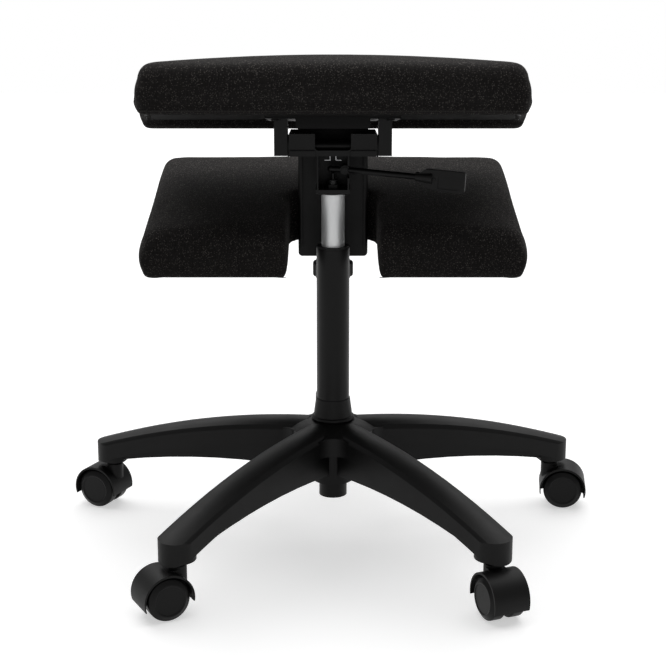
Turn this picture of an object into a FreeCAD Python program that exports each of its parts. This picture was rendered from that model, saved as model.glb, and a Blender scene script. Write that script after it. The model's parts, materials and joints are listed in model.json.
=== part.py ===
import FreeCAD, Part
import math
import os
from FreeCAD import Placement, Rotation, Vector

# Kneeling chair. Millimetres, +Z up, +Y towards the sitter's front.
# The origin is on the floor, on the axis of the column.

# Base and casters
LEG_COUNT = 5
LEG_TURN = -0.6            # turn of the whole star about the column, degrees
CASTER_CIRCLE_R = 300.0    # column axis to caster stem
LEG_HALF_W = 21.5
LEG_WALL = 3.4
LEG_RIM_ROUND = 3.0
LEG_SKIRT = 23.0           # height of the visible side wall
LEG_RISE = 48.0            # rim at the hub above rim at the caster stem
LEG_CROWN_HUB = 10.5
LEG_CROWN_TIP = 4.5
LEG_WEB_R = 21.0           # concave round between two legs
BOSS_DEPTH = 27.0          # caster boss, rim down to its underside
KEEL_DEPTH_HUB = 60.0
KEEL_T = 3.4
KEEL_X = 9.0
RIB_COUNT = 5
RIB_T = 2.6
HUB_TUBE_WALL = 5.0
HUB_RISE = 9.0             # hub top above the rim
HUB_TOP_R = 27.5
HUB_BOTTOM_DROP = 70.0     # hub tube bottom below the rim at the hub

WHEEL_R = 25.0
WHEEL_W = 17.5
WHEEL_INNER_S = 4.8        # caster mid-plane to the wheel's inner face
WHEEL_BEVEL = 3.0
WHEEL_FACE_R = 19.0        # raised ring round the wheel's outer face
WHEEL_RECESS = 0.7
HOOD_GAP = 2.4             # wheel to hood at the crown
HOOD_OPEN = 1.0            # how much wider that gap is beside the axle
HOOD_WALL = 2.6
HOOD_HALF_W = 22.0
HOOD_BACK_DEG = -18.0      # lowest point of the hood behind the wheels
HOOD_FRONT_DEG = 190.0
HOOD_WEB_HALF = 4.0
HOOD_NECK_RISE = 3.0       # neck top above the hood's crown
HOOD_NECK_R = 10.5
CASTER_TRAIL = 18.3
AXLE_R = 3.0
STEM_R = 5.5
STEM_COLLAR_R = 8.0
STEM_COLLAR_H = 6.5
STEM_SOCKET_DEPTH = 22.0

# heading of each caster, from its stem to its axle, degrees from +X towards +Y
CASTERS = (
    ("front", 0, 78.0),
    ("right", 1, -6.0),
    ("rear_right", 2, -67.0),
    ("rear_left", 3, -153.0),
    ("left", 4, 154.0),
)

# Column and gas spring
COLUMN_R = 20.0
COLUMN_WALL = 1.5
COLUMN_TOP_Z = 366.5
COLUMN_FOOT_Z = 49.5
COLUMN_FOOT_R = 17.3
COLUMN_FLOOR_T = 4.0
CLIP_RECESS = 5.0
COLLAR_H = 28.0
COLLAR_BEAD_R = 26.5
COLLAR_NECK_R = 24.0
BUSH_LEN = 70.0
BUSH_FLANGE = 2.0
CYLINDER_R = 14.0
CYLINDER_WALL = 1.4
CYLINDER_LEN = 287.0
CYLINDER_NECK_R = 6.0
CYLINDER_CAP_T = 24.0
ROD_R = 5.0
PISTON_LEN = 14.0
PISTON_ABOVE_END = 92.0    # piston above the cylinder's lower end, at rest
END_GUIDE_LEN = 14.0
BEARING_H = 6.0
BUMP_STOP_H = 18.0
PIN_R = 2.5
STUD_NUT_AF = 18.0
STUD_NUT_H = 4.0

# Mechanism
PLATE_BOTTOM_Z = 434.0
PLATE_T = 6.0
PLATE_HALF_X = 20.5
HOUSING_HALF_X = 19.3
HOUSING_WALL = 2.0
HOUSING_HALF_Y = 20.0
HOUSING_H = 50.5           # plate underside to yoke underside
YOKE_HALF_X = 51.5
YOKE_T = 2.5
YOKE_REAR_Y = -45.0
YOKE_FRONT_Y = 57.0
YOKE_REAR_H = 26.0
YOKE_FRONT_H = 17.0
YOKE_CAVITY_HALF_X = 21.0
YOKE_WINDOW_R = 4.0
YOKE_HATCH_HALF_X = 12.0   # opening in the yoke's floor over the lever
YOKE_LIP_H = 6.5
YOKE_LIP_OUT = 3.0
PIVOT_Y = -30.0
PIVOT_RISE = 10.0          # pivot above the yoke's underside
PIVOT_BOLT_R = 4.0
PIVOT_HEAD_R = 7.5
PIVOT_HEAD_T = 5.0
PIVOT_SLEEVE_R = 6.5
WASHER_R = 13.0
WASHER_T = 1.7

LEVER_PIVOT_X = 14.0
LEVER_Z = 461.2
LEVER_ROD_R = 3.7
LEVER_REACH = 84.0         # pivot to the paddle's root, along x
LEVER_BACK = 20.0          # how far the rod runs rearwards over that reach
LEVER_FALL = 5.0
LEVER_EYE_R = 5.5
LEVER_PIN_R = 2.0
LEVER_PIN_HEAD_R = 3.6
LEVER_TIP_X = -3.0
PADDLE_LEN = 58.0
PADDLE_H = 25.0
PADDLE_T = 7.0
SPRING_WIRE_R = 0.6

# Arm and knee slide
ARM_HALF_W = 43.0
ARM_T = 5.0
ARM_FLANGE = 8.0
ARM_FOOT_HALF_W = 33.0
ARM_FOOT_END_Y = 215.0
ARM_FOOT_ROUND = 18.0
ARM_BEND_R = 14.0
ARM_CORNER_R = 5.0
ARM_HEM = 1.0              # arm's back plate below the foot's underside
ARM_BOLT_R = 3.0
ARM_BOLT_X = 30.0
KNEE_SLOPE = 9.0           # the knee pad rises this many degrees to the front
KNEE_TRAVEL = 60.0
MOUNT_PLATE_T = 3.0
SLIDE_CLEAR = 0.05          # between the mount plate and the arm's foot
MOUNT_PLATE_HALF_X = 60.0
MOUNT_PLATE_AHEAD = 30.0   # plate's front edge ahead of the guide bolt
PLATE_MARGIN = 2.0         # plate's rear edge ahead of the arm's bend
KNOB_Y = 85.0
KNOB_R = 25.5
KNOB_H = 16.5
KNOB_DROP = 20.5           # arm's underside to the knob's top
KNOB_EDGE_R = 1.5
KNOB_FLUTES = 8
KNOB_FLUTE_R = 7.0
KNOB_FLUTE_DEPTH = 2.0
KNOB_STUD_R = 4.0
SLOT_CLEAR = 0.6
GUIDE_BOLT_AHEAD = 40.0

# Knee pad
KNEE_REAR_Y = -50.0
KNEE_REAR_Z = 335.0        # underside of the pad at its rear edge
KNEE_LEN = 304.0           # along its slope
KNEE_HALF_W = 229.0
KNEE_THICK = 60.0
KNEE_CROWN = 4.0
NOTCH_HALF_W = 55.5
NOTCH_DEPTH = 139.0
NOTCH_CORNER_R = 25.0
KNEE_BOARD_T = 12.0
KNEE_BOARD_CORNER_R = 16.0
BOARD_INSET = 14.0
TUCK = 2.0                 # how far the covers reach below a board before they are cut flat

# Seat
SEAT_SLOPE = -9.0          # the seat falls this many degrees to the front
SEAT_MID_Z = 523.5         # underside of the seat over the column
SEAT_REAR_V = -168.0       # rear edge, along the slope from the column axis
SEAT_LEN = 338.0
SEAT_REAR_HALF_W = 214.5
SEAT_FRONT_HALF_W = 246.5
SEAT_THICK = 57.0
SEAT_CROWN = 5.5
SEAT_LIP_DROP = 11.0
SEAT_LIP_LEN = 34.0        # front roll, ahead of the board
SEAT_BOARD_T = 12.0
SEAT_BOARD_CORNER_R = 20.0
SEAT_PLATE_T = 2.5
SEAT_PLATE_HALF_X = 78.0
SEAT_PLATE_REAR_V = -62.0
SEAT_PLATE_FRONT_V = 78.0
SEAT_PLATE_TURNDOWN = 14.0
SEAT_TURNDOWN_HALF_X = 43.0
EAR_T = 3.0
EAR_FLANGE = 15.5
EAR_HALF_Y = 15.0
SCREW_R = 2.5
SCREW_HEAD_R = 5.0
SCREW_HEAD_T = 2.2
SCREW_LEN = 11.0
SCREW_MARGIN = 11.0        # screws from their plate's edges

# Clearances
RUN_CLEAR = 0.05           # radial, between pieces that turn or slide in each other
FIT_CLEAR = 0.03           # radial, between pieces fixed in each other

# Worked out from the sizes above
HOOD_IN_R = WHEEL_R + HOOD_GAP
HOOD_OUT_R = HOOD_IN_R + HOOD_WALL
HOOD_ROOM_R = HOOD_IN_R + HOOD_OPEN
HOOD_ROOM_Z = WHEEL_R - HOOD_OPEN
NECK_TOP_Z = WHEEL_R + HOOD_OUT_R + HOOD_NECK_RISE
BOSS_Z = NECK_TOP_Z + STEM_COLLAR_H
RIM_TIP_Z = BOSS_Z + BOSS_DEPTH
RIM_HUB_Z = RIM_TIP_Z + LEG_RISE
HUB_TOP_Z = RIM_HUB_Z + HUB_RISE
HUB_BOTTOM_Z = RIM_HUB_Z - HUB_BOTTOM_DROP
COLUMN_IN_R = COLUMN_R - COLUMN_WALL
YOKE_Z = PLATE_BOTTOM_Z + HOUSING_H
PIVOT_Z = YOKE_Z + PIVOT_RISE
PLATE_TOP_Z = PLATE_BOTTOM_Z + PLATE_T
CYLINDER_BOTTOM_Z = PLATE_BOTTOM_Z - CYLINDER_LEN
PISTON_Z = CYLINDER_BOTTOM_Z + PISTON_ABOVE_END
FLOOR_Z = COLUMN_FOOT_Z + CLIP_RECESS
EAR_X = YOKE_HALF_X + WASHER_T
KNEE_TAN = math.tan(math.radians(KNEE_SLOPE))
BIG = 600.0


def box(x0, y0, z0, x1, y1, z1):
    """An upright box between two corners."""
    return Part.makeBox(x1 - x0, y1 - y0, z1 - z0, Vector(x0, y0, z0))


def rod(r, start, end):
    """A round bar from one point to another."""
    start = Vector(*start)
    run = Vector(*end) - start
    return Part.makeCylinder(r, run.Length, start, run)


def ring(outer, inner, z0, z1, x=0.0, y=0.0):
    """An upright tube."""
    return rod(outer, (x, y, z0), (x, y, z1)).cut(rod(inner, (x, y, z0 - 1), (x, y, z1 + 1)))


def fuse(shapes):
    """Join solids into one and tidy its faces."""
    shapes = list(shapes)
    joined = shapes[0].multiFuse(shapes[1:]) if len(shapes) > 1 else shapes[0]
    return joined.removeSplitter()


def face_of(points):
    """A flat face from corner points; a tuple of three is an arc's end after its middle."""
    edges = []
    here = Vector(*points[0])
    for item in points[1:]:
        if isinstance(item[0], tuple):
            middle, end = Vector(*item[0]), Vector(*item[1])
            edges.append(Part.Arc(here, middle, end).toShape())
        else:
            end = Vector(*item)
            edges.append(Part.LineSegment(here, end).toShape())
        here = end
    start = Vector(*points[0])
    if here.distanceToPoint(start) > 1e-6:
        edges.append(Part.LineSegment(here, start).toShape())
    return Part.Face(Part.Wire(edges))


def turned(shape, degrees, axis=Vector(0, 0, 1), centre=Vector(0, 0, 0)):
    """A copy of a shape, turned about an axis."""
    copy = shape.copy()
    copy.rotate(centre, axis, degrees)
    return copy


def moved(shape, x=0.0, y=0.0, z=0.0):
    """A copy of a shape, moved."""
    copy = shape.copy()
    copy.translate(Vector(x, y, z))
    return copy


def mirrored(shape):
    """A copy of a shape, mirrored left to right."""
    return shape.mirror(Vector(0, 0, 0), Vector(1, 0, 0))


def pair(shape):
    """A shape and its mirror image, left to right."""
    return Part.makeCompound([shape, mirrored(shape)])


def hexagon(across_flats, height, centre, axis=Vector(0, 0, 1)):
    """A hexagonal prism on an axis."""
    radius = across_flats / math.sqrt(3)
    corners = []
    for step in range(6):
        angle = math.radians(60 * step)
        corners.append(Vector(radius * math.cos(angle), radius * math.sin(angle), 0))
    prism = Part.Face(Part.makePolygon(corners + corners[:1])).extrude(Vector(0, 0, height))
    prism.Placement = Placement(Vector(*centre), Rotation(Vector(0, 0, 1), axis))
    return prism


# Base

def rim_z(r):
    """Height of a leg's rim at a radius: the legs fall away as a shallow arc."""
    return RIM_HUB_Z - LEG_RISE * (r / CASTER_CIRCLE_R) ** 2


def crown_h(r):
    """Height of a leg's crowned top above its rim."""
    share = min(r / CASTER_CIRCLE_R, 1.0)
    return LEG_CROWN_HUB + (LEG_CROWN_TIP - LEG_CROWN_HUB) * share


def keel_z(r):
    """Height of the underside of the inner ribs."""
    depth = KEEL_DEPTH_HUB + (BOSS_DEPTH - KEEL_DEPTH_HUB) * r / CASTER_CIRCLE_R
    return rim_z(r) - depth


def leg_start():
    """Where a leg begins: just outside the place where two legs' sides meet."""
    return LEG_HALF_W / math.tan(math.pi / LEG_COUNT) + 0.4


def leg_section(r, half_w, low, rim, crown, edge_round):
    """Closed outline across a leg at a radius, with a crowned top and round rims."""
    shoulder = half_w - edge_round
    lift = crown * (1.0 - (shoulder / half_w) ** 2) + edge_round * 0.35
    corner = half_w - edge_round * 0.30
    corner_z = rim - edge_round * 0.34
    points = [
        (-half_w, r, low),
        (half_w, r, low),
        (half_w, r, rim - edge_round),
        ((corner, r, corner_z), (shoulder, r, rim + lift - edge_round * 0.30)),
        ((0.0, r, rim + crown), (-shoulder, r, rim + lift - edge_round * 0.30)),
        ((-corner, r, corner_z), (-half_w, r, rim - edge_round)),
    ]
    return face_of(points).OuterWire


def leg_loft(half_w, low_drop, top_drop, r_end):
    """A leg's long solid between two drops below its rim, from the hub outwards."""
    stations = 6
    start = leg_start()
    wires = []
    for step in range(stations + 1):
        r = start + (r_end - start) * step / stations
        rim = rim_z(r) - top_drop
        wires.append(leg_section(r, half_w, rim_z(r) - low_drop, rim, crown_h(r), LEG_RIM_ROUND))
    return Part.makeLoft(wires, True, False)


def leg_plan(half_w, r_end, z0, z1):
    """Upright prism over a leg: straight sides and a half-round end."""
    face = face_of([
        (-half_w, 0, z0),
        (half_w, 0, z0),
        (half_w, r_end, z0),
        ((0, r_end + half_w, z0), (-half_w, r_end, z0)),
    ])
    return face.extrude(Vector(0, 0, z1 - z0))


def leg_outer():
    """The outside of one leg along +Y, with its caster boss."""
    body = leg_loft(LEG_HALF_W, LEG_SKIRT, 0.0, CASTER_CIRCLE_R + LEG_HALF_W + 8)
    body = body.common(leg_plan(LEG_HALF_W, CASTER_CIRCLE_R, 0, BIG))
    r = CASTER_CIRCLE_R
    boss = rod(LEG_HALF_W, (0, r, BOSS_Z), (0, r, rim_z(r + LEG_HALF_W) - LEG_RIM_ROUND - 1))
    return body.fuse(boss)


def leg_cavity():
    """The hollow under one leg."""
    inner = LEG_HALF_W - LEG_WALL
    hollow = leg_loft(inner, KEEL_DEPTH_HUB, LEG_WALL, CASTER_CIRCLE_R + LEG_HALF_W)
    end = CASTER_CIRCLE_R - LEG_HALF_W + LEG_WALL
    return hollow.common(box(-BIG, 0, 0, BIG, end, BIG))


def leg_ribs():
    """Two long ribs under a leg and the short ones across it."""
    stations = 8
    start = COLUMN_R + HUB_TUBE_WALL - 1.0
    end = CASTER_CIRCLE_R - LEG_HALF_W + LEG_WALL + 1.0
    under = 1.0
    points = []
    for step in range(stations + 1):
        r = start + (end - start) * step / stations
        points.append((0, r, keel_z(r)))
    for step in range(stations, -1, -1):
        r = start + (end - start) * step / stations
        points.append((0, r, rim_z(r) - under))
    rib = face_of(points).extrude(Vector(KEEL_T, 0, 0))
    ribs = [moved(rib, x=KEEL_X - KEEL_T / 2), moved(rib, x=-KEEL_X - KEEL_T / 2)]
    for step in range(1, RIB_COUNT + 1):
        r = start + (end - start) * step / (RIB_COUNT + 1)
        ribs.append(box(-LEG_HALF_W + 1, r, rim_z(r) - LEG_SKIRT + 2,
                        LEG_HALF_W - 1, r + RIB_T, rim_z(r + RIB_T) - under))
    return ribs


def leg():
    """One whole leg along +Y: hollow, ribbed, with its caster boss."""
    return fuse([leg_outer().cut(leg_cavity())] + leg_ribs())


def star_outline():
    """Upright prism over the hub: straight leg sides joined by concave rounds."""
    half_step = math.pi / LEG_COUNT
    reach = (LEG_HALF_W + LEG_WEB_R) / math.tan(half_step)
    apex = (LEG_HALF_W + LEG_WEB_R) / math.sin(half_step) - LEG_WEB_R
    points = []
    for angle in leg_angles():
        turn = math.radians(angle)
        for side in (-1, 1):
            x = side * LEG_HALF_W
            corner = (x * math.cos(turn) + reach * math.sin(turn),
                      reach * math.cos(turn) - x * math.sin(turn), 0)
            middle = turn - half_step
            dip = (apex * math.sin(middle), apex * math.cos(middle), 0)
            if side < 0 and points:
                points.append((dip, corner))
            else:
                points.append(corner)
    closing = math.radians(leg_angles()[0]) - half_step
    points.append(((apex * math.sin(closing), apex * math.cos(closing), 0), points[0]))
    return face_of(points).extrude(Vector(0, 0, BIG)), reach, apex


def hub():
    """The hub: a low dome over a skirt, hollow below, with the column's tube."""
    prism, reach, apex = star_outline()
    top = HUB_TOP_Z
    rim = rim_z(reach) + LEG_RIM_ROUND * 0.3
    low = rim - LEG_SKIRT
    dome = face_of([
        (0, 0, low),
        (reach + 4, 0, low),
        (reach + 4, 0, rim - 1),
        (apex, 0, rim),
        ((apex * 0.77, 0, rim + (top - rim) * 0.66), (HUB_TOP_R, 0, top)),
        (0, 0, top),
    ]).revolve(Vector(0, 0, 0), Vector(0, 0, 1), 360)
    shell = dome.common(prism)
    shell = shell.cut(rod(apex - LEG_WALL, (0, 0, low - 1), (0, 0, rim - LEG_WALL)))
    cavity = leg_cavity()
    for angle in leg_angles():
        shell = shell.cut(turned(cavity, -angle))
    tube = rod(COLUMN_R + HUB_TUBE_WALL, (0, 0, HUB_BOTTOM_Z), (0, 0, rim))
    return shell.fuse(tube)


def leg_angles():
    """Turn of each leg about the column, degrees, counted from +Y towards +X."""
    return [LEG_TURN + 360.0 * k / LEG_COUNT for k in range(LEG_COUNT)]


def base_star():
    """The moulded five-legged base."""
    star = hub()
    arm = leg()
    for angle in leg_angles():
        star = star.fuse(turned(arm, -angle))
    cuts = [rod(COLUMN_R + FIT_CLEAR, (0, 0, HUB_BOTTOM_Z - 1), (0, 0, HUB_TOP_Z + 1))]
    top = BOSS_Z + STEM_SOCKET_DEPTH + 1
    for angle in leg_angles():
        hole = rod(STEM_R + RUN_CLEAR, (0, CASTER_CIRCLE_R, BOSS_Z - 1), (0, CASTER_CIRCLE_R, top))
        cuts.append(turned(hole, -angle))
    return star.cut(Part.makeCompound(cuts))


def hub_collar():
    """Trim collar at the column's foot: a bead ring and a cone above it."""
    bead = 3.0
    base = HUB_TOP_Z
    inner = COLUMN_R + FIT_CLEAR
    profile = face_of([
        (inner, 0, base),
        (COLLAR_BEAD_R - bead, 0, base),
        ((COLLAR_BEAD_R, 0, base + bead), (COLLAR_BEAD_R - bead, 0, base + 2 * bead)),
        (COLLAR_NECK_R, 0, base + 2 * bead),
        (inner + 1.0, 0, base + COLLAR_H),
        (inner, 0, base + COLLAR_H),
    ])
    return profile.revolve(Vector(0, 0, 0), Vector(0, 0, 1), 360)


# Column and gas spring

def column_tube():
    """Outer tube with its drawn-in foot and the floor that carries the spring."""
    foot_in = COLUMN_FOOT_R - COLUMN_WALL
    step_z = HUB_BOTTOM_Z
    step_h = COLUMN_R - COLUMN_FOOT_R
    floor_top = FLOOR_Z + COLUMN_FLOOR_T
    profile = face_of([
        (ROD_R + RUN_CLEAR, 0, FLOOR_Z),
        (foot_in, 0, FLOOR_Z),
        (foot_in, 0, COLUMN_FOOT_Z),
        (COLUMN_FOOT_R, 0, COLUMN_FOOT_Z),
        (COLUMN_FOOT_R, 0, step_z),
        (COLUMN_R, 0, step_z + step_h),
        (COLUMN_R, 0, COLUMN_TOP_Z),
        (COLUMN_IN_R, 0, COLUMN_TOP_Z),
        (COLUMN_IN_R, 0, step_z + step_h),
        (foot_in, 0, step_z),
        (foot_in, 0, floor_top),
        (ROD_R + RUN_CLEAR, 0, floor_top),
    ])
    return profile.revolve(Vector(0, 0, 0), Vector(0, 0, 1), 360)


def guide_bush():
    """Plastic sleeve in the top of the column, flanged over its rim."""
    sleeve = ring(COLUMN_IN_R - FIT_CLEAR, CYLINDER_R + RUN_CLEAR,
                  COLUMN_TOP_Z - BUSH_LEN, COLUMN_TOP_Z + BUSH_FLANGE)
    flange = ring(COLUMN_R - 0.6, CYLINDER_R + RUN_CLEAR, COLUMN_TOP_Z, COLUMN_TOP_Z + BUSH_FLANGE)
    return fuse([sleeve, flange])


def thrust_bearing():
    """Ball thrust bearing that the spring turns on: two races and a ball cage as one ring."""
    z = FLOOR_Z + COLUMN_FLOOR_T
    outer = COLUMN_FOOT_R - COLUMN_WALL - 1.0
    bore = ROD_R + RUN_CLEAR
    race = BEARING_H / 3
    lower = ring(outer, bore, z, z + race)
    cage = ring(outer - 1.2, bore + 1.0, z + race, z + 2 * race)
    upper = ring(outer, bore, z + 2 * race, z + BEARING_H)
    return fuse([lower, cage, upper])


def bump_stop():
    """Rubber ring round the rod that the cylinder meets at the bottom of its travel."""
    z = FLOOR_Z + COLUMN_FLOOR_T + BEARING_H
    return ring(COLUMN_FOOT_R - COLUMN_WALL - 2.5, ROD_R + FIT_CLEAR, z, z + BUMP_STOP_H)


def piston_rod():
    """Rod from the clip under the column's floor up to the piston."""
    low = FLOOR_Z - CLIP_RECESS + 1.0
    shaft = rod(ROD_R, (0, 0, low), (0, 0, PISTON_Z + PISTON_LEN))
    groove = ring(ROD_R + 1, ROD_R - 1, FLOOR_Z - 2.0, FLOOR_Z)
    return shaft.cut(groove)


def rod_clip():
    """Spring clip in the rod's groove, under the column's floor."""
    clip = ring(ROD_R + 4.5, ROD_R - 1 + FIT_CLEAR, FLOOR_Z - 1.8, FLOOR_Z - 0.2)
    mouth = box(-2.5, 0, FLOOR_Z - 4, 2.5, ROD_R + 6, FLOOR_Z + 1)
    return clip.cut(mouth)


def piston():
    """Piston with a seal groove, on the rod's upper end."""
    bore = CYLINDER_R - CYLINDER_WALL
    body = ring(bore - RUN_CLEAR, ROD_R + FIT_CLEAR, PISTON_Z, PISTON_Z + PISTON_LEN)
    groove = ring(bore, bore - 1.5, PISTON_Z + PISTON_LEN * 0.4, PISTON_Z + PISTON_LEN * 0.6)
    return body.cut(groove)


def gas_cylinder():
    """Bright cylinder, closed at the top by a cap with a neck for the plate."""
    bore = CYLINDER_R - CYLINDER_WALL
    chamfer = 1.5
    neck_top = PLATE_TOP_Z + STUD_NUT_H + 5.0
    hole = PIN_R + RUN_CLEAR
    profile = face_of([
        (bore, 0, CYLINDER_BOTTOM_Z),
        (CYLINDER_R, 0, CYLINDER_BOTTOM_Z),
        (CYLINDER_R, 0, PLATE_BOTTOM_Z - chamfer),
        (CYLINDER_R - chamfer, 0, PLATE_BOTTOM_Z),
        (CYLINDER_NECK_R, 0, PLATE_BOTTOM_Z),
        (CYLINDER_NECK_R, 0, neck_top),
        (hole, 0, neck_top),
        (hole, 0, PLATE_BOTTOM_Z - CYLINDER_CAP_T),
        (bore, 0, PLATE_BOTTOM_Z - CYLINDER_CAP_T),
    ])
    return profile.revolve(Vector(0, 0, 0), Vector(0, 0, 1), 360)


def cylinder_end_guide():
    """Seal and guide at the cylinder's lower end, round the rod."""
    bore = CYLINDER_R - CYLINDER_WALL
    return ring(bore - FIT_CLEAR, ROD_R + RUN_CLEAR,
                CYLINDER_BOTTOM_Z + 1.0, CYLINDER_BOTTOM_Z + 1.0 + END_GUIDE_LEN)


def stud_nut():
    """Thin nut that clamps the cylinder's neck to the plate."""
    nut = hexagon(STUD_NUT_AF, STUD_NUT_H, (0, 0, PLATE_TOP_Z))
    return nut.cut(rod(CYLINDER_NECK_R + FIT_CLEAR, (0, 0, 0), (0, 0, BIG)))


def pin_top_z():
    """Top of the release pin, just under the lever's inner end."""
    tip_z = LEVER_Z + LEVER_FALL * LEVER_PIVOT_X / LEVER_REACH
    return tip_z - LEVER_ROD_R - 0.35


def release_pin():
    """Valve pin in the cylinder's neck, with a domed top for the lever."""
    top = pin_top_z()
    shaft = rod(PIN_R, (0, 0, PLATE_BOTTOM_Z - CYLINDER_CAP_T + 3), (0, 0, top - 1.2))
    dome = Part.makeSphere(PIN_R * 1.35, Vector(0, 0, top - PIN_R * 1.35))
    dome = dome.common(rod(PIN_R, (0, 0, top - 3), (0, 0, top + 1)))
    return fuse([shaft, dome])


# Mechanism

def mechanism_housing():
    """Narrow box over the spring: a thick bottom plate, two sides and a closed front."""
    y = HOUSING_HALF_Y
    plate = box(-PLATE_HALF_X, -y, PLATE_BOTTOM_Z, PLATE_HALF_X, y, PLATE_TOP_Z)
    plate = plate.makeChamfer(2.0, [e for e in plate.Edges if lowest_edge(e, PLATE_BOTTOM_Z)])
    side = box(HOUSING_HALF_X - HOUSING_WALL, -y, PLATE_TOP_Z, HOUSING_HALF_X, y, YOKE_Z)
    front = box(-HOUSING_HALF_X, y - HOUSING_WALL, PLATE_TOP_Z, HOUSING_HALF_X, y, YOKE_Z)
    shell = fuse([plate, side, mirrored(side), front])
    slot_low = LEVER_Z - LEVER_ROD_R - 3.5
    slot_high = LEVER_Z + LEVER_ROD_R + 4.0
    slot = box(HOUSING_HALF_X - HOUSING_WALL - 1, -y - 1, slot_low,
               HOUSING_HALF_X + 1, LEVER_ROD_R + 2.5, slot_high)
    neck = rod(CYLINDER_NECK_R + FIT_CLEAR, (0, 0, PLATE_BOTTOM_Z - 1), (0, 0, PLATE_TOP_Z + 1))
    pin = rod(LEVER_PIN_R + FIT_CLEAR, (LEVER_PIVOT_X, 0, LEVER_Z), (LEVER_PIVOT_X, y + 1, LEVER_Z))
    wire = rod(SPRING_WIRE_R + FIT_CLEAR, (0, 0, spring_top_z()), (0, y + 1, spring_top_z()))
    wires = [moved(wire, x=3.5), moved(wire, x=-3.5)]
    return shell.cut(Part.makeCompound([slot, neck, pin] + wires))


def lowest_edge(edge, z):
    """True for a straight edge that lies flat at a height."""
    return all(abs(v.Z - z) < 1e-6 for v in edge.Vertexes)


def yoke_top_z(y):
    """Height of the yoke's sloping top edge."""
    share = (y - YOKE_REAR_Y) / (YOKE_FRONT_Y - YOKE_REAR_Y)
    return YOKE_Z + YOKE_REAR_H + (YOKE_FRONT_H - YOKE_REAR_H) * share


def tilt_yoke():
    """Folded steel tray between the ears, its rear wall open in the middle."""
    inner_x = YOKE_HALF_X - YOKE_T
    profile = face_of([
        (-YOKE_HALF_X, YOKE_REAR_Y, YOKE_Z),
        (-YOKE_HALF_X, YOKE_FRONT_Y, YOKE_Z),
        (-YOKE_HALF_X, YOKE_FRONT_Y, yoke_top_z(YOKE_FRONT_Y)),
        (-YOKE_HALF_X, YOKE_REAR_Y, yoke_top_z(YOKE_REAR_Y)),
    ])
    block = profile.extrude(Vector(2 * YOKE_HALF_X, 0, 0))
    inside = box(-inner_x, YOKE_REAR_Y + YOKE_T, YOKE_Z + YOKE_T, inner_x, YOKE_FRONT_Y - YOKE_T, BIG)
    tray = block.cut(inside)
    sill_z = YOKE_Z + YOKE_LIP_H
    window = box(-YOKE_CAVITY_HALF_X, YOKE_REAR_Y - 1, sill_z,
                 YOKE_CAVITY_HALF_X, YOKE_REAR_Y + YOKE_T + 1, YOKE_Z + 2 * YOKE_REAR_H)
    lower = [e for e in window.Edges
             if abs(e.tangentAt(0).y) > 0.9 and abs(e.Vertexes[0].Z - sill_z) < 1e-6]
    window = window.makeFillet(YOKE_WINDOW_R, lower)
    lip = box(YOKE_CAVITY_HALF_X, YOKE_REAR_Y - YOKE_LIP_OUT, YOKE_Z,
              YOKE_HALF_X - 1, YOKE_REAR_Y + 1, YOKE_Z + YOKE_LIP_H)
    tray = fuse([tray.cut(window), lip, mirrored(lip)])
    centre = Vector(0, PIVOT_Y, PIVOT_Z)
    bolt = rod(PIVOT_BOLT_R + RUN_CLEAR, (-BIG, centre.y, centre.z), (BIG, centre.y, centre.z))
    hatch_y = HOUSING_HALF_Y - HOUSING_WALL
    hatch = box(-YOKE_HATCH_HALF_X, -hatch_y, YOKE_Z - 1,
                YOKE_HATCH_HALF_X, hatch_y - 2, YOKE_Z + YOKE_T + 1)
    holes = [rod(ARM_BOLT_R + RUN_CLEAR, (x, YOKE_FRONT_Y - 10, arm_bolt_z()),
                 (x, YOKE_FRONT_Y + 5, arm_bolt_z())) for x in (-ARM_BOLT_X, ARM_BOLT_X)]
    return tray.cut(Part.makeCompound([bolt, hatch] + holes))


def pivot_sleeve():
    """Spacer tube round the pivot bolt, between the yoke's sides."""
    half = YOKE_HALF_X - YOKE_T - 0.1
    outer = rod(PIVOT_SLEEVE_R, (-half, PIVOT_Y, PIVOT_Z), (half, PIVOT_Y, PIVOT_Z))
    bore = rod(PIVOT_BOLT_R + FIT_CLEAR, (-half - 1, PIVOT_Y, PIVOT_Z), (half + 1, PIVOT_Y, PIVOT_Z))
    return outer.cut(bore)


def pivot_bolt():
    """Long bolt that the seat tilts on."""
    end = EAR_X + EAR_T
    nut_t = PIVOT_HEAD_T
    shank = rod(PIVOT_BOLT_R, (-end, PIVOT_Y, PIVOT_Z), (end + nut_t + 2, PIVOT_Y, PIVOT_Z))
    head = rod(PIVOT_HEAD_R, (-end - nut_t, PIVOT_Y, PIVOT_Z), (-end, PIVOT_Y, PIVOT_Z))
    return fuse([shank, head])


def pivot_nut():
    """Nut on the pivot bolt."""
    end = EAR_X + EAR_T
    nut = hexagon(2 * PIVOT_HEAD_R - 2, PIVOT_HEAD_T, (end, PIVOT_Y, PIVOT_Z), Vector(1, 0, 0))
    return nut.cut(rod(PIVOT_BOLT_R + FIT_CLEAR, (0, PIVOT_Y, PIVOT_Z), (BIG, PIVOT_Y, PIVOT_Z)))


def friction_washers():
    """Thin washers between the yoke and the ears."""
    start = YOKE_HALF_X
    disc = rod(WASHER_R, (start, PIVOT_Y, PIVOT_Z), (start + WASHER_T, PIVOT_Y, PIVOT_Z))
    hole = rod(PIVOT_BOLT_R + FIT_CLEAR, (start - 1, PIVOT_Y, PIVOT_Z), (BIG, PIVOT_Y, PIVOT_Z))
    return pair(disc.cut(hole))


# Lever

def lever_point(x):
    """Centre of the lever's rod at a place along x."""
    share = (x - LEVER_PIVOT_X) / LEVER_REACH
    return (x, -LEVER_BACK * max(share, 0.0), LEVER_Z - LEVER_FALL * share)


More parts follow.
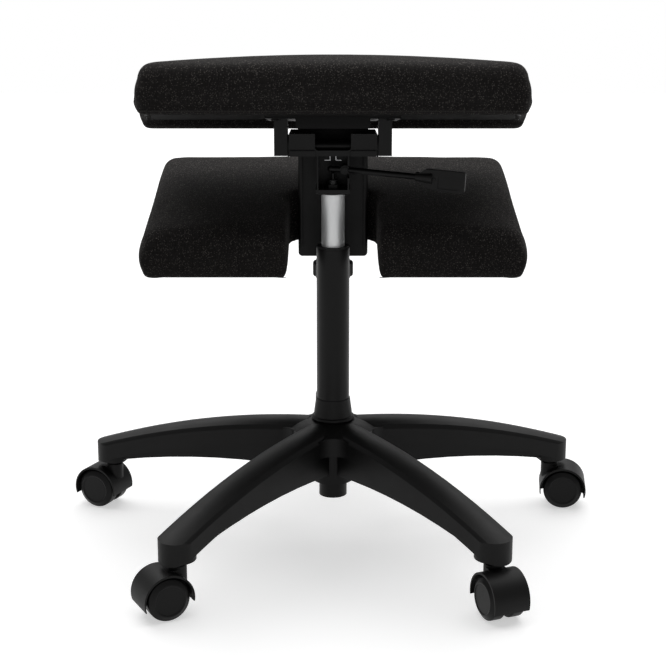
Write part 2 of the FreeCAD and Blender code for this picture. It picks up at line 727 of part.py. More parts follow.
def release_lever():
    """Bent rod from over the release pin, through its eye, out to the paddle."""
    tip = lever_point(LEVER_TIP_X)
    pivot = lever_point(LEVER_PIVOT_X)
    end = lever_point(LEVER_PIVOT_X + LEVER_REACH + PADDLE_LEN * 0.4)
    half = LEVER_ROD_R + 0.4
    eye = rod(LEVER_EYE_R, (LEVER_PIVOT_X, -half, LEVER_Z), (LEVER_PIVOT_X, half, LEVER_Z))
    tip_ball = Part.makeSphere(LEVER_ROD_R, Vector(*tip))
    shaft = rod(LEVER_ROD_R, tip, pivot).fuse(eye).fuse(rod(LEVER_ROD_R, pivot, end))
    shaft = shaft.fuse(tip_ball)
    bore = rod(LEVER_PIN_R + RUN_CLEAR, (LEVER_PIVOT_X, -BIG, LEVER_Z), (LEVER_PIVOT_X, BIG, LEVER_Z))
    return shaft.cut(bore)


def lever_paddle():
    """Flat moulded blade on the lever's end, its neck tapering onto the rod."""
    root = Vector(*lever_point(LEVER_PIVOT_X + LEVER_REACH))
    far = Vector(*lever_point(LEVER_PIVOT_X + LEVER_REACH + PADDLE_LEN))
    run = far - root
    length = run.Length
    neck = LEVER_ROD_R + 1.2
    half = PADDLE_H / 2
    low = 2.0
    outline = face_of([
        (0, 0, -neck),
        (length * 0.06, 0, -neck),
        (length * 0.24, 0, -half),
        (length * 0.60, 0, -half - low),
        (length - 3, 0, -half - low),
        ((length - 0.9, 0, -half - low + 0.9), (length, 0, -half - low + 3)),
        (length, 0, half - low - 3),
        ((length - 0.9, 0, half - low - 0.9), (length - 3, 0, half - low)),
        (length * 0.20, 0, half - low),
        (length * 0.06, 0, neck),
        (0, 0, neck),
    ])
    blade = moved(outline, y=-PADDLE_T / 2).extrude(Vector(0, PADDLE_T, 0))
    thin = PADDLE_T * 0.30
    recess = box(length * 0.46, -PADDLE_T, -half - low + 3,
                 length - 6, -PADDLE_T / 2 + thin * 0.5, half - low - 8)
    neck_round = Part.makeCone(neck + 0.6, neck + 2.4, length * 0.34, Vector(0, 0, 0), Vector(1, 0, 0))
    shape = fuse([blade.cut(recess), neck_round])
    shape = shape.cut(rod(LEVER_ROD_R + FIT_CLEAR, (-1, 0, 0), (PADDLE_LEN * 0.42, 0, 0)))
    flat = math.degrees(math.atan2(run.y, run.x))
    fall = math.degrees(math.atan2(-run.z, math.hypot(run.x, run.y)))
    shape = turned(shape, fall, Vector(0, 1, 0))
    shape = turned(shape, flat, Vector(0, 0, 1))
    return moved(shape, root.x, root.y, root.z)


def lever_pivot_pin():
    """Headed pin from the housing's front wall through the lever's eye."""
    lean = LEVER_BACK / LEVER_REACH
    face_y = -LEVER_ROD_R * math.hypot(1.0, lean) - LEVER_PIN_HEAD_R * lean - 0.4
    shank = rod(LEVER_PIN_R, (LEVER_PIVOT_X, face_y, LEVER_Z),
                (LEVER_PIVOT_X, HOUSING_HALF_Y, LEVER_Z))
    head = rod(LEVER_PIN_HEAD_R, (LEVER_PIVOT_X, face_y - 1.6, LEVER_Z),
               (LEVER_PIVOT_X, face_y, LEVER_Z))
    return fuse([shank, head])


def spring_top_z():
    """Height where the return spring's wires leave the housing's front wall."""
    return YOKE_Z - 2.5


def lever_spring():
    """Bright wire spring: two mirrored wires that bend down, then outwards."""
    x = 3.5
    y = -8.0
    top = spring_top_z()
    drop = 8.0
    out = 6.5
    r = SPRING_WIRE_R
    runs = [
        ((x, HOUSING_HALF_Y, top), (x, y, top)),
        ((x, y, top), (x, y, top - drop)),
        ((x, y, top - drop), (x + out, y, top - drop)),
    ]
    wire = [rod(r, start, end) for start, end in runs]
    wire += [Part.makeSphere(r, Vector(x, y, top)), Part.makeSphere(r, Vector(x, y, top - drop))]
    return pair(fuse(wire))


# Arm

def arm_bolt_z():
    """Height of the bolts that hold the arm to the yoke."""
    return YOKE_Z + YOKE_FRONT_H / 2 + 0.5


def arm_under_z(y):
    """Underside of the arm's foot at a place along y."""
    pad_under = KNEE_REAR_Z + (y - KNEE_REAR_Y) * KNEE_TAN
    return pad_under - (MOUNT_PLATE_T + SLIDE_CLEAR + ARM_T) / math.cos(math.radians(KNEE_SLOPE))


def on_slope(shape, y0, z0):
    """Place a shape drawn level at the origin onto the knee pad's slope."""
    return moved(turned(shape, KNEE_SLOPE, Vector(1, 0, 0)), y=y0, z=z0)


def arm_foot_frame():
    """Where the arm's foot starts: on its underside, at the arm's rear face."""
    return YOKE_FRONT_Y, arm_under_z(YOKE_FRONT_Y)


def arm_strip(y0, z0, foot_len, top):
    """Narrow strip of the arm: down its back, round the bend and out along the foot."""
    half = math.radians(90 - KNEE_SLOPE) / 2
    slope = math.radians(KNEE_SLOPE)
    up = Vector(0, 0, 1)
    along = Vector(0, math.cos(slope), math.sin(slope))
    across = Vector(0, -math.sin(slope), math.cos(slope))
    inward = (up + along).normalize()
    corner = Vector(-ARM_FOOT_HALF_W, y0, z0)
    centre = corner + inward * (ARM_BEND_R / math.sin(half))
    outer_up = corner + up * (ARM_BEND_R / math.tan(half))
    outer_out = corner + along * (ARM_BEND_R / math.tan(half))
    outer_mid = centre - inward * ARM_BEND_R
    inner = (ARM_BEND_R - ARM_T) / ARM_BEND_R
    inner_up = centre + (outer_up - centre) * inner
    inner_out = centre + (outer_out - centre) * inner
    inner_mid = centre + (outer_mid - centre) * inner
    end = corner + along * foot_len
    end_top = end + across * ARM_T
    profile = face_of([
        tuple(Vector(corner.x, y0, top)),
        tuple(outer_up),
        (tuple(outer_mid), tuple(outer_out)),
        tuple(end),
        tuple(end_top),
        tuple(inner_out),
        (tuple(inner_mid), tuple(inner_up)),
        tuple(Vector(corner.x, y0 + ARM_T, top)),
    ])
    strip = profile.extrude(Vector(2 * ARM_FOOT_HALF_W, 0, 0))
    end_corners = [e for e in strip.Edges
                   if abs(e.Length - ARM_T) < 1e-3 and e.Vertexes[0].Y > end.y - ARM_T
                   and e.Vertexes[1].Y > end.y - ARM_T and abs(e.tangentAt(0).x) < 0.1]
    return strip.makeFillet(ARM_FOOT_ROUND, end_corners)


def knee_arm():
    """Steel plate down from the yoke, bent forwards under the knee pad."""
    rear = YOKE_FRONT_Y
    front = rear + ARM_T
    top = yoke_top_z(YOKE_FRONT_Y)
    y0, z0 = arm_foot_frame()
    foot_len = (ARM_FOOT_END_Y - y0) / math.cos(math.radians(KNEE_SLOPE))
    corner_z = z0 - ARM_HEM
    wide = box(-ARM_HALF_W, rear, corner_z, ARM_HALF_W, front, top)
    lower = [e for e in wide.Edges
             if abs(e.tangentAt(0).y) > 0.9 and abs(e.Vertexes[0].Z - corner_z) < 1e-6]
    wide = wide.makeFillet(ARM_CORNER_R, lower)
    flange = box(ARM_HALF_W - ARM_T, rear - ARM_FLANGE, corner_z + ARM_CORNER_R + 6,
                 ARM_HALF_W, front, YOKE_Z - 1)
    outer_edges = [e for e in flange.Edges
                   if abs(e.tangentAt(0).z) > 0.9 and e.Vertexes[0].X > ARM_HALF_W - 0.1]
    flange = flange.makeFillet(min(3.5, ARM_T * 0.7), outer_edges)
    inside = arm_strip(y0, z0, foot_len, corner_z + 30)
    arm = fuse([wide, flange, mirrored(flange), inside])
    cuts = [rod(ARM_BOLT_R + RUN_CLEAR, (x, rear - 1, arm_bolt_z()), (x, front + 1, arm_bolt_z()))
            for x in (-ARM_BOLT_X, ARM_BOLT_X)]
    cuts.append(knee_slot(KNOB_STUD_R + SLOT_CLEAR))
    return arm.cut(Part.makeCompound(cuts))


def pad_v(y, z):
    """Distance of a point from the pad's rear edge, along the pad's slope."""
    slope = math.radians(KNEE_SLOPE)
    return (y - KNEE_REAR_Y) * math.cos(slope) + (z - KNEE_REAR_Z) * math.sin(slope)


def knee_slot(half_w):
    """Long slot through the arm's foot, for the knob's stud and the guide bolt."""
    length = GUIDE_BOLT_AHEAD + KNEE_TRAVEL
    low = -ARM_T
    face = face_of([
        (-half_w, 0, low),
        ((0, -half_w, low), (half_w, 0, low)),
        (half_w, length, low),
        ((0, length + half_w, low), (-half_w, length, low)),
    ])
    return on_knob(face.extrude(Vector(0, 0, 3 * ARM_T)))


def on_knob(shape):
    """Place a shape drawn upright at the origin on the knob's axis."""
    return on_slope(shape, KNOB_Y, arm_under_z(KNOB_Y))


def knob_stud():
    """Threaded stud, its flat head against the mount plate's underside."""
    top = ARM_T + MOUNT_PLATE_T
    shaft = rod(KNOB_STUD_R, (0, 0, -KNOB_DROP - KNOB_H + 3), (0, 0, top))
    return on_knob(shaft)


def knee_knob():
    """Round clamp knob with grip flutes, and a steel spacer boss up to the arm."""
    body = rod(KNOB_R, (0, 0, -KNOB_DROP - KNOB_H), (0, 0, -KNOB_DROP))
    rims = [e for e in body.Edges if e.Curve.TypeId == "Part::GeomCircle"]
    body = body.makeFillet(KNOB_EDGE_R, rims)
    flutes = []
    centre = KNOB_R - KNOB_FLUTE_DEPTH + KNOB_FLUTE_R
    for step in range(KNOB_FLUTES):
        angle = 2 * math.pi * (step + 0.5) / KNOB_FLUTES
        x = centre * math.cos(angle)
        y = centre * math.sin(angle)
        flutes.append(rod(KNOB_FLUTE_R, (x, y, -KNOB_DROP - KNOB_H - 1), (x, y, -KNOB_DROP + 1)))
    body = body.cut(Part.makeCompound(flutes))
    boss = Part.makeCone(12.0, 9.0, KNOB_DROP - 0.1, Vector(0, 0, -KNOB_DROP))
    body = fuse([body, boss])
    bore = rod(KNOB_STUD_R + RUN_CLEAR, (0, 0, -KNOB_DROP - KNOB_H + 2), (0, 0, 1))
    return on_knob(body.cut(bore))


def guide_bolt():
    """Shoulder bolt ahead of the knob that keeps the knee pad straight in the slot."""
    head = rod(9.0, (0, GUIDE_BOLT_AHEAD, -5.0), (0, GUIDE_BOLT_AHEAD, -0.3))
    shank = rod(KNOB_STUD_R, (0, GUIDE_BOLT_AHEAD, -1.0), (0, GUIDE_BOLT_AHEAD, ARM_T + MOUNT_PLATE_T))
    return on_knob(fuse([head, shank]))


def arm_bolts():
    """Two bolts through the arm and the yoke's front wall, each with its nut."""
    z = arm_bolt_z()
    front = YOKE_FRONT_Y + ARM_T
    rear = YOKE_FRONT_Y - YOKE_T
    shank = rod(ARM_BOLT_R, (ARM_BOLT_X, rear - 5, z), (ARM_BOLT_X, front, z))
    head = rod(ARM_BOLT_R * 1.8, (ARM_BOLT_X, front, z), (ARM_BOLT_X, front + 4, z))
    nut = hexagon(10.0, 4.5, (ARM_BOLT_X, rear, z), Vector(0, -1, 0))
    return pair(fuse([shank, head, nut]))


# Soft slabs

def slab_section(v, half_w, low, high, crown, corner):
    """Closed outline across a cushion at a place along its length."""
    bulge = corner * 0.18
    mid = (low + high) / 2
    low_c = min(corner * 0.55, (high - low) * 0.3)
    top_c = min(corner, (high - low) * 0.45)
    cut_low = low_c * 0.30
    cut = top_c * 0.30
    points = [
        (-half_w + low_c, v, low),
        (half_w - low_c, v, low),
        ((half_w - cut_low, v, low + cut_low), (half_w - bulge * 0.2, v, low + low_c)),
        ((half_w + bulge, v, mid - 1), (half_w - bulge * 0.2, v, high - top_c)),
        ((half_w - cut, v, high - cut), (half_w - top_c, v, high)),
        ((0.0, v, high + crown), (-half_w + top_c, v, high)),
        ((-half_w + cut, v, high - cut), (-half_w + bulge * 0.2, v, high - top_c)),
        ((-half_w - bulge, v, mid - 1), (-half_w + bulge * 0.2, v, low + low_c)),
        ((-half_w + cut_low, v, low + cut_low), (-half_w + low_c, v, low)),
    ]
    return face_of(points).OuterWire


def soft_slab(stations):
    """A cushion lofted through outlines, each (place, half width, low, high, crown)."""
    corner = 17.0
    wires = []
    for v, half_w, low, high, crown in stations:
        wires.append(slab_section(v, half_w, low, high, crown, corner))
    return Part.makeLoft(wires, True, False)


# Knee pad

def knee_place(shape):
    """From the pad's own level frame onto the chair."""
    return on_slope(shape, KNEE_REAR_Y, KNEE_REAR_Z)


def notch_prism(grow, z0, z1):
    """The pad's notch, open to the rear, with round inner corners."""
    half = NOTCH_HALF_W + grow
    end = NOTCH_DEPTH + grow
    r = NOTCH_CORNER_R
    mid = r * (1 - math.sqrt(0.5))
    face = face_of([
        (-half, -40, z0),
        (half, -40, z0),
        (half, end - r, z0),
        ((half - mid, end - mid, z0), (half - r, end, z0)),
        (-half + r, end, z0),
        ((-half + mid, end - mid, z0), (-half, end - r, z0)),
    ])
    return face.extrude(Vector(0, 0, z1 - z0))


def board_face(half_rear, half_front, v0, v1, corner, z0, thick):
    """A flat board with round corners."""
    mid = corner * (1 - math.sqrt(0.5))
    face = face_of([
        (-half_rear + corner, v0, z0),
        (half_rear - corner, v0, z0),
        ((half_rear - mid, v0 + mid, z0), (half_rear, v0 + corner, z0)),
        (half_front, v1 - corner, z0),
        ((half_front - mid, v1 - mid, z0), (half_front - corner, v1, z0)),
        (-half_front + corner, v1, z0),
        ((-half_front + mid, v1 - mid, z0), (-half_front, v1 - corner, z0)),
        (-half_rear, v0 + corner, z0),
        ((-half_rear + mid, v0 + mid, z0), (-half_rear + corner, v0, z0)),
    ])
    return face.extrude(Vector(0, 0, thick))


def knee_board_level(extra, low):
    """The knee board in the pad's level frame, or the pocket for it."""
    half = KNEE_HALF_W - BOARD_INSET + extra
    board = board_face(half, half, BOARD_INSET - extra, KNEE_LEN - BOARD_INSET + extra,
                       KNEE_BOARD_CORNER_R, low, KNEE_BOARD_T + extra - low)
    return board.cut(notch_prism(BOARD_INSET * 0.5 - extra, low - 1, KNEE_THICK * 2))


def knee_board():
    """U-shaped plywood board under the knee cushion, with holes for the plate's screws."""
    return knee_place(knee_board_level(0.0, 0.0)).cut(knee_screw_holes())


def knee_cushion():
    """Knee pad: a crowned slab with a rounded notch, wrapped round its board."""
    half = KNEE_HALF_W
    top = KNEE_THICK
    length = KNEE_LEN
    low = -TUCK
    stations = [
        (0.0, half - 7, 13.0, top - 17, 0.5),
        (2.5, half - 4, 6.0, top - 9, 1.0),
        (7.0, half - 2, 1.5, top - 4.0, 1.8),
        (15.0, half - 0.5, low * 0.8, top - 1.0, 2.8),
        (30.0, half, low, top, KNEE_CROWN),
        (length * 0.5, half - 1, low, top + 2.0, KNEE_CROWN),
        (length - 36, half - 1, low, top + 1.5, KNEE_CROWN),
        (length - 18, half - 2, low * 0.8, top + 0.5, 3.2),
        (length - 8, half - 4, 2.0, top - 3, 2.4),
        (length - 2.5, half - 7, 7.0, top - 8, 1.4),
        (length, half - 10, 13.0, top - 15, 0.5),
    ]
    slab = soft_slab(stations)
    slab = slab.cut(notch_prism(0.0, -top, top * 2))
    slab = slab.cut(box(-BIG, -BIG, -BIG, BIG, BIG, 0.0))
    return knee_place(slab.cut(knee_board_level(FIT_CLEAR, -TUCK)))


def knob_v():
    """The knob's place along the pad's slope, from the pad's rear edge."""
    return pad_v(KNOB_Y, arm_under_z(KNOB_Y))


def mount_plate():
    """Steel plate between the knee board and the arm, holding the stud and the guide bolt."""
    bend = ARM_BEND_R / math.tan(math.radians(90 - KNEE_SLOPE) / 2)
    v0 = pad_v(*arm_foot_frame()) + bend + PLATE_MARGIN
    v1 = knob_v() + GUIDE_BOLT_AHEAD + MOUNT_PLATE_AHEAD
    narrow = box(-ARM_FOOT_HALF_W, v0, -MOUNT_PLATE_T, ARM_FOOT_HALF_W, v1, 0)
    wings = box(-MOUNT_PLATE_HALF_X, NOTCH_DEPTH + BOARD_INSET, -MOUNT_PLATE_T,
                MOUNT_PLATE_HALF_X, v1, 0)
    plate = knee_place(fuse([narrow, wings]))
    holes = on_knob(Part.makeCompound([
        rod(KNOB_STUD_R + FIT_CLEAR, (0, 0, 0), (0, 0, BIG)),
        rod(KNOB_STUD_R + FIT_CLEAR, (0, GUIDE_BOLT_AHEAD, 0), (0, GUIDE_BOLT_AHEAD, BIG)),
    ]))
    return plate.cut(holes).cut(knee_screw_holes())


def knee_screw_spots():
    """Places of the knee plate's screws in the pad's level frame."""
    v_far = knob_v() + GUIDE_BOLT_AHEAD + MOUNT_PLATE_AHEAD - SCREW_MARGIN
    v_near = NOTCH_DEPTH + BOARD_INSET + SCREW_MARGIN
    x = MOUNT_PLATE_HALF_X - SCREW_MARGIN
    return [(sx, v) for sx in (-x, x) for v in (v_near, v_far)]


def screw_holes(spots, plate_t):
    """Holes for the screws that hold a board's plate, in the board's level frame."""
    r = SCREW_R + FIT_CLEAR
    return Part.makeCompound([rod(r, (x, v, -plate_t - 1), (x, v, SCREW_LEN)) for x, v in spots])


def screws(spots, plate_t):
    """Screws up through a plate into its board, in the board's level frame."""
    group = []
    for x, v in spots:
        head_z = -plate_t - SCREW_HEAD_T
        shank = rod(SCREW_R, (x, v, head_z), (x, v, SCREW_LEN - 1.0))
        head = rod(SCREW_HEAD_R, (x, v, head_z), (x, v, -plate_t))
        group.append(fuse([shank, head]))
    return Part.makeCompound(group)


def knee_screw_holes():
    """Holes for the knee plate's screws."""
    return knee_place(screw_holes(knee_screw_spots(), MOUNT_PLATE_T))


def knee_screws():
    """Screws up through the mount plate into the knee board."""
    return knee_place(screws(knee_screw_spots(), MOUNT_PLATE_T))


# Seat

def seat_place(shape):
    """From the seat's own level frame, its origin over the column, onto the chair."""
    return moved(turned(shape, SEAT_SLOPE, Vector(1, 0, 0)), z=SEAT_MID_Z)


def seat_half_w(v):
    """Half width of the seat at a place along its slope: wider to the front."""
    share = (v - SEAT_REAR_V) / SEAT_LEN
    return SEAT_REAR_HALF_W + (SEAT_FRONT_HALF_W - SEAT_REAR_HALF_W) * share


def seat_board_level(extra, low):
    """The seat board in the seat's level frame, or the pocket for it."""
    v0 = SEAT_REAR_V + BOARD_INSET - extra
    v1 = SEAT_REAR_V + SEAT_LEN - SEAT_LIP_LEN + extra
    return board_face(seat_half_w(v0) - BOARD_INSET + extra, seat_half_w(v1) - BOARD_INSET + extra,
                      v0, v1, SEAT_BOARD_CORNER_R, low, SEAT_BOARD_T + extra - low)


def seat_board():
    """Plywood board under the seat cushion, with holes for the plate's screws."""
    return seat_place(seat_board_level(0.0, 0.0)).cut(seat_screw_holes())


def seat_cushion():
    """Seat cushion: a crowned slab whose front rolls down below its board."""
    top = SEAT_THICK
    v0 = SEAT_REAR_V
    v1 = SEAT_REAR_V + SEAT_LEN
    lip = -SEAT_LIP_DROP
    flat = -TUCK

    def at(v, inset, low, high, crown):
        return (v, seat_half_w(v) - inset, low, high, crown)

    stations = [
        at(v0, 6.5, 13.0, top - 17, 0.5),
        at(v0 + 2.5, 3.5, 6.0, top - 9, 1.0),
        at(v0 + 7.0, 1.5, 1.5, top - 4.0, 1.8),
        at(v0 + 15.0, 0.3, flat * 0.8, top - 1.0, 2.8),
        at(v0 + 30.0, 0.0, flat, top, SEAT_CROWN),
        at(v0 + SEAT_LEN * 0.5, 0.0, flat, top + 1.5, SEAT_CROWN),
        at(v1 - 75.0, 0.0, flat, top - 2.0, SEAT_CROWN),
        at(v1 - 45.0, 0.0, flat * 1.2, top - 6.0, 3.4),
        at(v1 - 30.0, 0.0, lip * 0.55, top - 10.5, 3.0),
        at(v1 - 16.0, 0.3, lip, top - 18.0, 2.2),
        at(v1 - 7.0, 1.5, lip + 1.5, top - 26.0, 1.4),
        at(v1 - 2.0, 4.0, lip + 6.0, top - 34.0, 0.8),
        at(v1, 7.5, lip + 12.0, top - 40.0, 0.5),
    ]
    under = box(-BIG, -BIG, -BIG, BIG, v1 - SEAT_LIP_LEN + 2 * TUCK, 0.0)
    slab = soft_slab(stations).cut(under)
    return seat_place(slab.cut(seat_board_level(FIT_CLEAR, -TUCK)))


def seat_plate():
    """Steel plate under the seat board, its rear edge turned down."""
    t = SEAT_PLATE_T
    flat = box(-SEAT_PLATE_HALF_X, SEAT_PLATE_REAR_V, -t, SEAT_PLATE_HALF_X, SEAT_PLATE_FRONT_V, 0)
    rear = box(-SEAT_TURNDOWN_HALF_X, SEAT_PLATE_REAR_V, -SEAT_PLATE_TURNDOWN,
               SEAT_TURNDOWN_HALF_X, SEAT_PLATE_REAR_V + t, 0)
    return seat_place(fuse([flat, rear])).cut(seat_screw_holes())


def seat_screw_spots():
    """Places of the seat plate's screws in the seat's level frame."""
    x = SEAT_PLATE_HALF_X - SCREW_MARGIN
    ends = (SEAT_PLATE_REAR_V + SCREW_MARGIN, SEAT_PLATE_FRONT_V - SCREW_MARGIN)
    return [(sx, v) for sx in (-x, x) for v in ends]


def seat_screw_holes():
    """Holes for the seat plate's screws."""
    return seat_place(screw_holes(seat_screw_spots(), SEAT_PLATE_T))


def seat_screws():
    """Screws up through the seat plate into the board."""
    return seat_place(screws(seat_screw_spots(), SEAT_PLATE_T))


def seat_ear():
    """One ear: a plate beside the yoke with a flange turned outwards to the rear."""
    y0 = PIVOT_Y - EAR_HALF_Y
    y1 = PIVOT_Y + EAR_HALF_Y + 10
    low = PIVOT_Z - PIVOT_HEAD_R - 2.5
    high = SEAT_MID_Z + BIG / 10
    plate = box(EAR_X, y0, low, EAR_X + EAR_T, y1, high)
    flange = box(EAR_X, y0, low, EAR_X + EAR_FLANGE, y0 + EAR_T, high)
    ear = fuse([plate, flange])
    foot = [e for e in ear.Edges
            if abs(e.tangentAt(0).x) > 0.9 and abs(e.Vertexes[0].Z - low) < 1e-6
            and e.Length > EAR_FLANGE - 1]
    under_plate = seat_place(box(-BIG, -BIG, -BIG, BIG, BIG, -SEAT_PLATE_T))
    hole = rod(PIVOT_BOLT_R + RUN_CLEAR, (0, PIVOT_Y, PIVOT_Z), (BIG, PIVOT_Y, PIVOT_Z))
    ear = ear.makeChamfer(1.2, foot[:1])
    return ear.common(under_plate).cut(hole)


# Casters

def hood():
    """Caster hood in its own frame: stem on the origin's axis, axle along x."""
    y = CASTER_TRAIL
    z = WHEEL_R

    def polar(r, degrees):
        angle = math.radians(degrees)
        return (0, y + r * math.cos(angle), z + r * math.sin(angle))

    def fan(r, start, end):
        middle = (start + end) / 2
        return face_of([
            (0, y, z),
            polar(r, start),
            (polar(r, (start + middle) / 2), polar(r, middle)),
            (polar(r, (middle + end) / 2), polar(r, end)),
        ])

    def slice_of(r, start, end, half):
        return moved(fan(r, start, end), x=-half).extrude(Vector(2 * half, 0, 0))

    def wheel_room(r):
        side = rod(r, (HOOD_WEB_HALF, y, HOOD_ROOM_Z), (HOOD_HALF_W + 1, y, HOOD_ROOM_Z))
        return Part.makeCompound([side, mirrored(side)])

    shell = slice_of(HOOD_OUT_R, HOOD_BACK_DEG, HOOD_FRONT_DEG, HOOD_HALF_W)
    boss = rod(AXLE_R + 4, (-HOOD_WEB_HALF, y, z), (HOOD_WEB_HALF, y, z))
    neck = rod(HOOD_NECK_R, (0, 0, z + HOOD_IN_R * 0.5), (0, 0, NECK_TOP_Z))
    bridge = box(-HOOD_NECK_R, 0, z + HOOD_IN_R * 0.5, HOOD_NECK_R, y * 0.8, NECK_TOP_Z - HOOD_NECK_RISE)
    body = fuse([shell, boss, neck, bridge]).cut(wheel_room(HOOD_ROOM_R))
    low = box(-HOOD_WEB_HALF - 0.5, y - HOOD_OUT_R - 1, 0, HOOD_WEB_HALF + 0.5, BIG, z - AXLE_R - 6)
    body = body.cut(low.common(rod(HOOD_IN_R, (-HOOD_HALF_W, y, z), (HOOD_HALF_W, y, z))))
    socket = rod(STEM_R + FIT_CLEAR, (0, 0, stem_foot_z()), (0, 0, BIG))
    bore = rod(AXLE_R + FIT_CLEAR, (-BIG, y, z), (BIG, y, z))
    return body.cut(Part.makeCompound([socket, bore]))


def stem_foot_z():
    """Lower end of the stem, clear of the wheels below it."""
    rise = math.sqrt(HOOD_ROOM_R ** 2 - (CASTER_TRAIL - STEM_R) ** 2)
    return HOOD_ROOM_Z + rise + 1.0


def stem():
    """Steel stem: shank in the base, collar on the hood's neck, foot in the hood."""
    shank = rod(STEM_R, (0, 0, stem_foot_z()), (0, 0, BOSS_Z + STEM_SOCKET_DEPTH))
    collar = rod(STEM_COLLAR_R, (0, 0, NECK_TOP_Z), (0, 0, BOSS_Z))
    return fuse([shank, collar])


def axle():
    """Axle pin through the hood's web into both wheels."""
    half = WHEEL_INNER_S + WHEEL_W * 0.72
    return rod(AXLE_R, (-half, CASTER_TRAIL, WHEEL_R), (half, CASTER_TRAIL, WHEEL_R))


def wheel(side):
    """One wheel: rounded tread, wide bevel and a low ring round its outer face."""
    s0 = WHEEL_INNER_S
    s1 = WHEEL_INNER_S + WHEEL_W
    r = WHEEL_R
    b = WHEEL_BEVEL
    bore = AXLE_R + RUN_CLEAR
    deep = s0 + WHEEL_W * 0.72 + 0.5
    profile = face_of([
        (s0, 0, bore),
        (s0, 0, r - 2.0),
        ((s0 + 0.6, 0, r - 0.6), (s0 + 2.0, 0, r)),
        (s1 - b - 2, 0, r),
        ((s1 - b - 0.8, 0, r - 0.35), (s1 - b, 0, r - 1.2)),
        (s1, 0, WHEEL_FACE_R),
        (s1, 0, WHEEL_FACE_R - 1.2),
        (s1 - WHEEL_RECESS, 0, WHEEL_FACE_R - 2.2),
        (s1 - WHEEL_RECESS, 0, 0),
        (deep, 0, 0),
        (deep, 0, bore),
    ])
    solid = profile.revolve(Vector(0, 0, 0), Vector(1, 0, 0), 360)
    solid = moved(solid, y=CASTER_TRAIL, z=WHEEL_R)
    return solid if side > 0 else mirrored(solid)


def caster_parts():
    """Every caster's pieces, turned to its heading and set on its stem."""
    own = {"hood": hood(), "stem": stem(), "axle": axle(), "wheel_1": wheel(1), "wheel_2": wheel(-1)}
    parts = {}
    for name, leg, heading in CASTERS:
        angle = math.radians(leg_angles()[leg])
        x = CASTER_CIRCLE_R * math.sin(angle)
        y = CASTER_CIRCLE_R * math.cos(angle)
        for piece, shape in own.items():
            parts["caster_%s_%s" % (name, piece)] = moved(turned(shape, heading - 90.0), x, y)
    return parts


def all_parts():
    """Every node of the chair by name."""
    parts = {
        "base_star": base_star(),
        "hub_collar": hub_collar(),
        "column_tube": column_tube(),
        "guide_bush": guide_bush(),
        "thrust_bearing": thrust_bearing(),
        "bump_stop": bump_stop(),
        "piston_rod": piston_rod(),
        "rod_clip": rod_clip(),
        "piston": piston(),
        "gas_cylinder": gas_cylinder(),
        "cylinder_end_guide": cylinder_end_guide(),
        "stud_nut": stud_nut(),
        "release_pin": release_pin(),
        "mechanism_housing": mechanism_housing(),
        "tilt_yoke": tilt_yoke(),
        "pivot_sleeve": pivot_sleeve(),
        "pivot_bolt": Part.makeCompound([pivot_bolt(), pivot_nut()]),
        "friction_washers": friction_washers(),
        "release_lever": release_lever(),
        "lever_paddle": lever_paddle(),
        "lever_pivot_pin": lever_pivot_pin(),
        "lever_spring": lever_spring(),
        "knee_arm": knee_arm(),
        "arm_bolts": arm_bolts(),
        "slot_bolts": Part.makeCompound([knob_stud(), guide_bolt()]),
        "knee_knob": knee_knob(),
        "mount_plate": mount_plate(),
        "knee_screws": knee_screws(),
        "knee_board": knee_board(),
        "knee_cushion": knee_cushion(),
        "seat_plate": seat_plate(),
        "seat_ears": pair(seat_ear()),
        "seat_screws": seat_screws(),
        "seat_board": seat_board(),
        "seat_cushion": seat_cushion(),
    }
    parts.update(caster_parts())
    return parts


def main():
    """Write every piece to its own file."""
    os.makedirs("parts", exist_ok=True)
    for name, shape in all_parts().items():
        shape.exportStep("parts/%s.step" % name)


main()
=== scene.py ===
import json
import math

import bmesh
import bpy
from bpy.props import FloatProperty, FloatVectorProperty, IntProperty, PointerProperty
from mathutils import Matrix, Vector
from mathutils.bvhtree import BVHTree
from mathutils.geometry import convex_hull_2d


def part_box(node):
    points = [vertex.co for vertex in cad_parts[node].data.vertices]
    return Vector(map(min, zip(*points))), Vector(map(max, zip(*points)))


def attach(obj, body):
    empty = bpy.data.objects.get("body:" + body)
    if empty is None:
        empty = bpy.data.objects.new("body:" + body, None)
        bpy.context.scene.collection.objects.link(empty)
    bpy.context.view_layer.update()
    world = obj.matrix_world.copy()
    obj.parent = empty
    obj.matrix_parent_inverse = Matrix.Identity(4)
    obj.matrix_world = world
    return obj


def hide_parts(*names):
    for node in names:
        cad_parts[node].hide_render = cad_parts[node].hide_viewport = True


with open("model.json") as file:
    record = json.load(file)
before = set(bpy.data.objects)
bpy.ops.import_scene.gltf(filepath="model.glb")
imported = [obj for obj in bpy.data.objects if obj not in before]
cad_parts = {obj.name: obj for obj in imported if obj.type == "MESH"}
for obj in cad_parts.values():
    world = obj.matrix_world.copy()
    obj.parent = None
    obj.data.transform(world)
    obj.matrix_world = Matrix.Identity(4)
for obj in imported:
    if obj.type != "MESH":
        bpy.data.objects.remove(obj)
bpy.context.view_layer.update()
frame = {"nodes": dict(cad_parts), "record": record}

bl_info = {
    "name": "Kneeling Chair",
    "version": (1, 0, 0),
    "blender": (4, 5, 0),
    "location": "3D View > Sidebar > Kneeling Chair",
    "description": "Upholstery, finishes and stage for a kneeling chair",
    "category": "Object",
}

MM = 0.001
WHITE = (1.0, 1.0, 1.0, 1.0)


# Settings

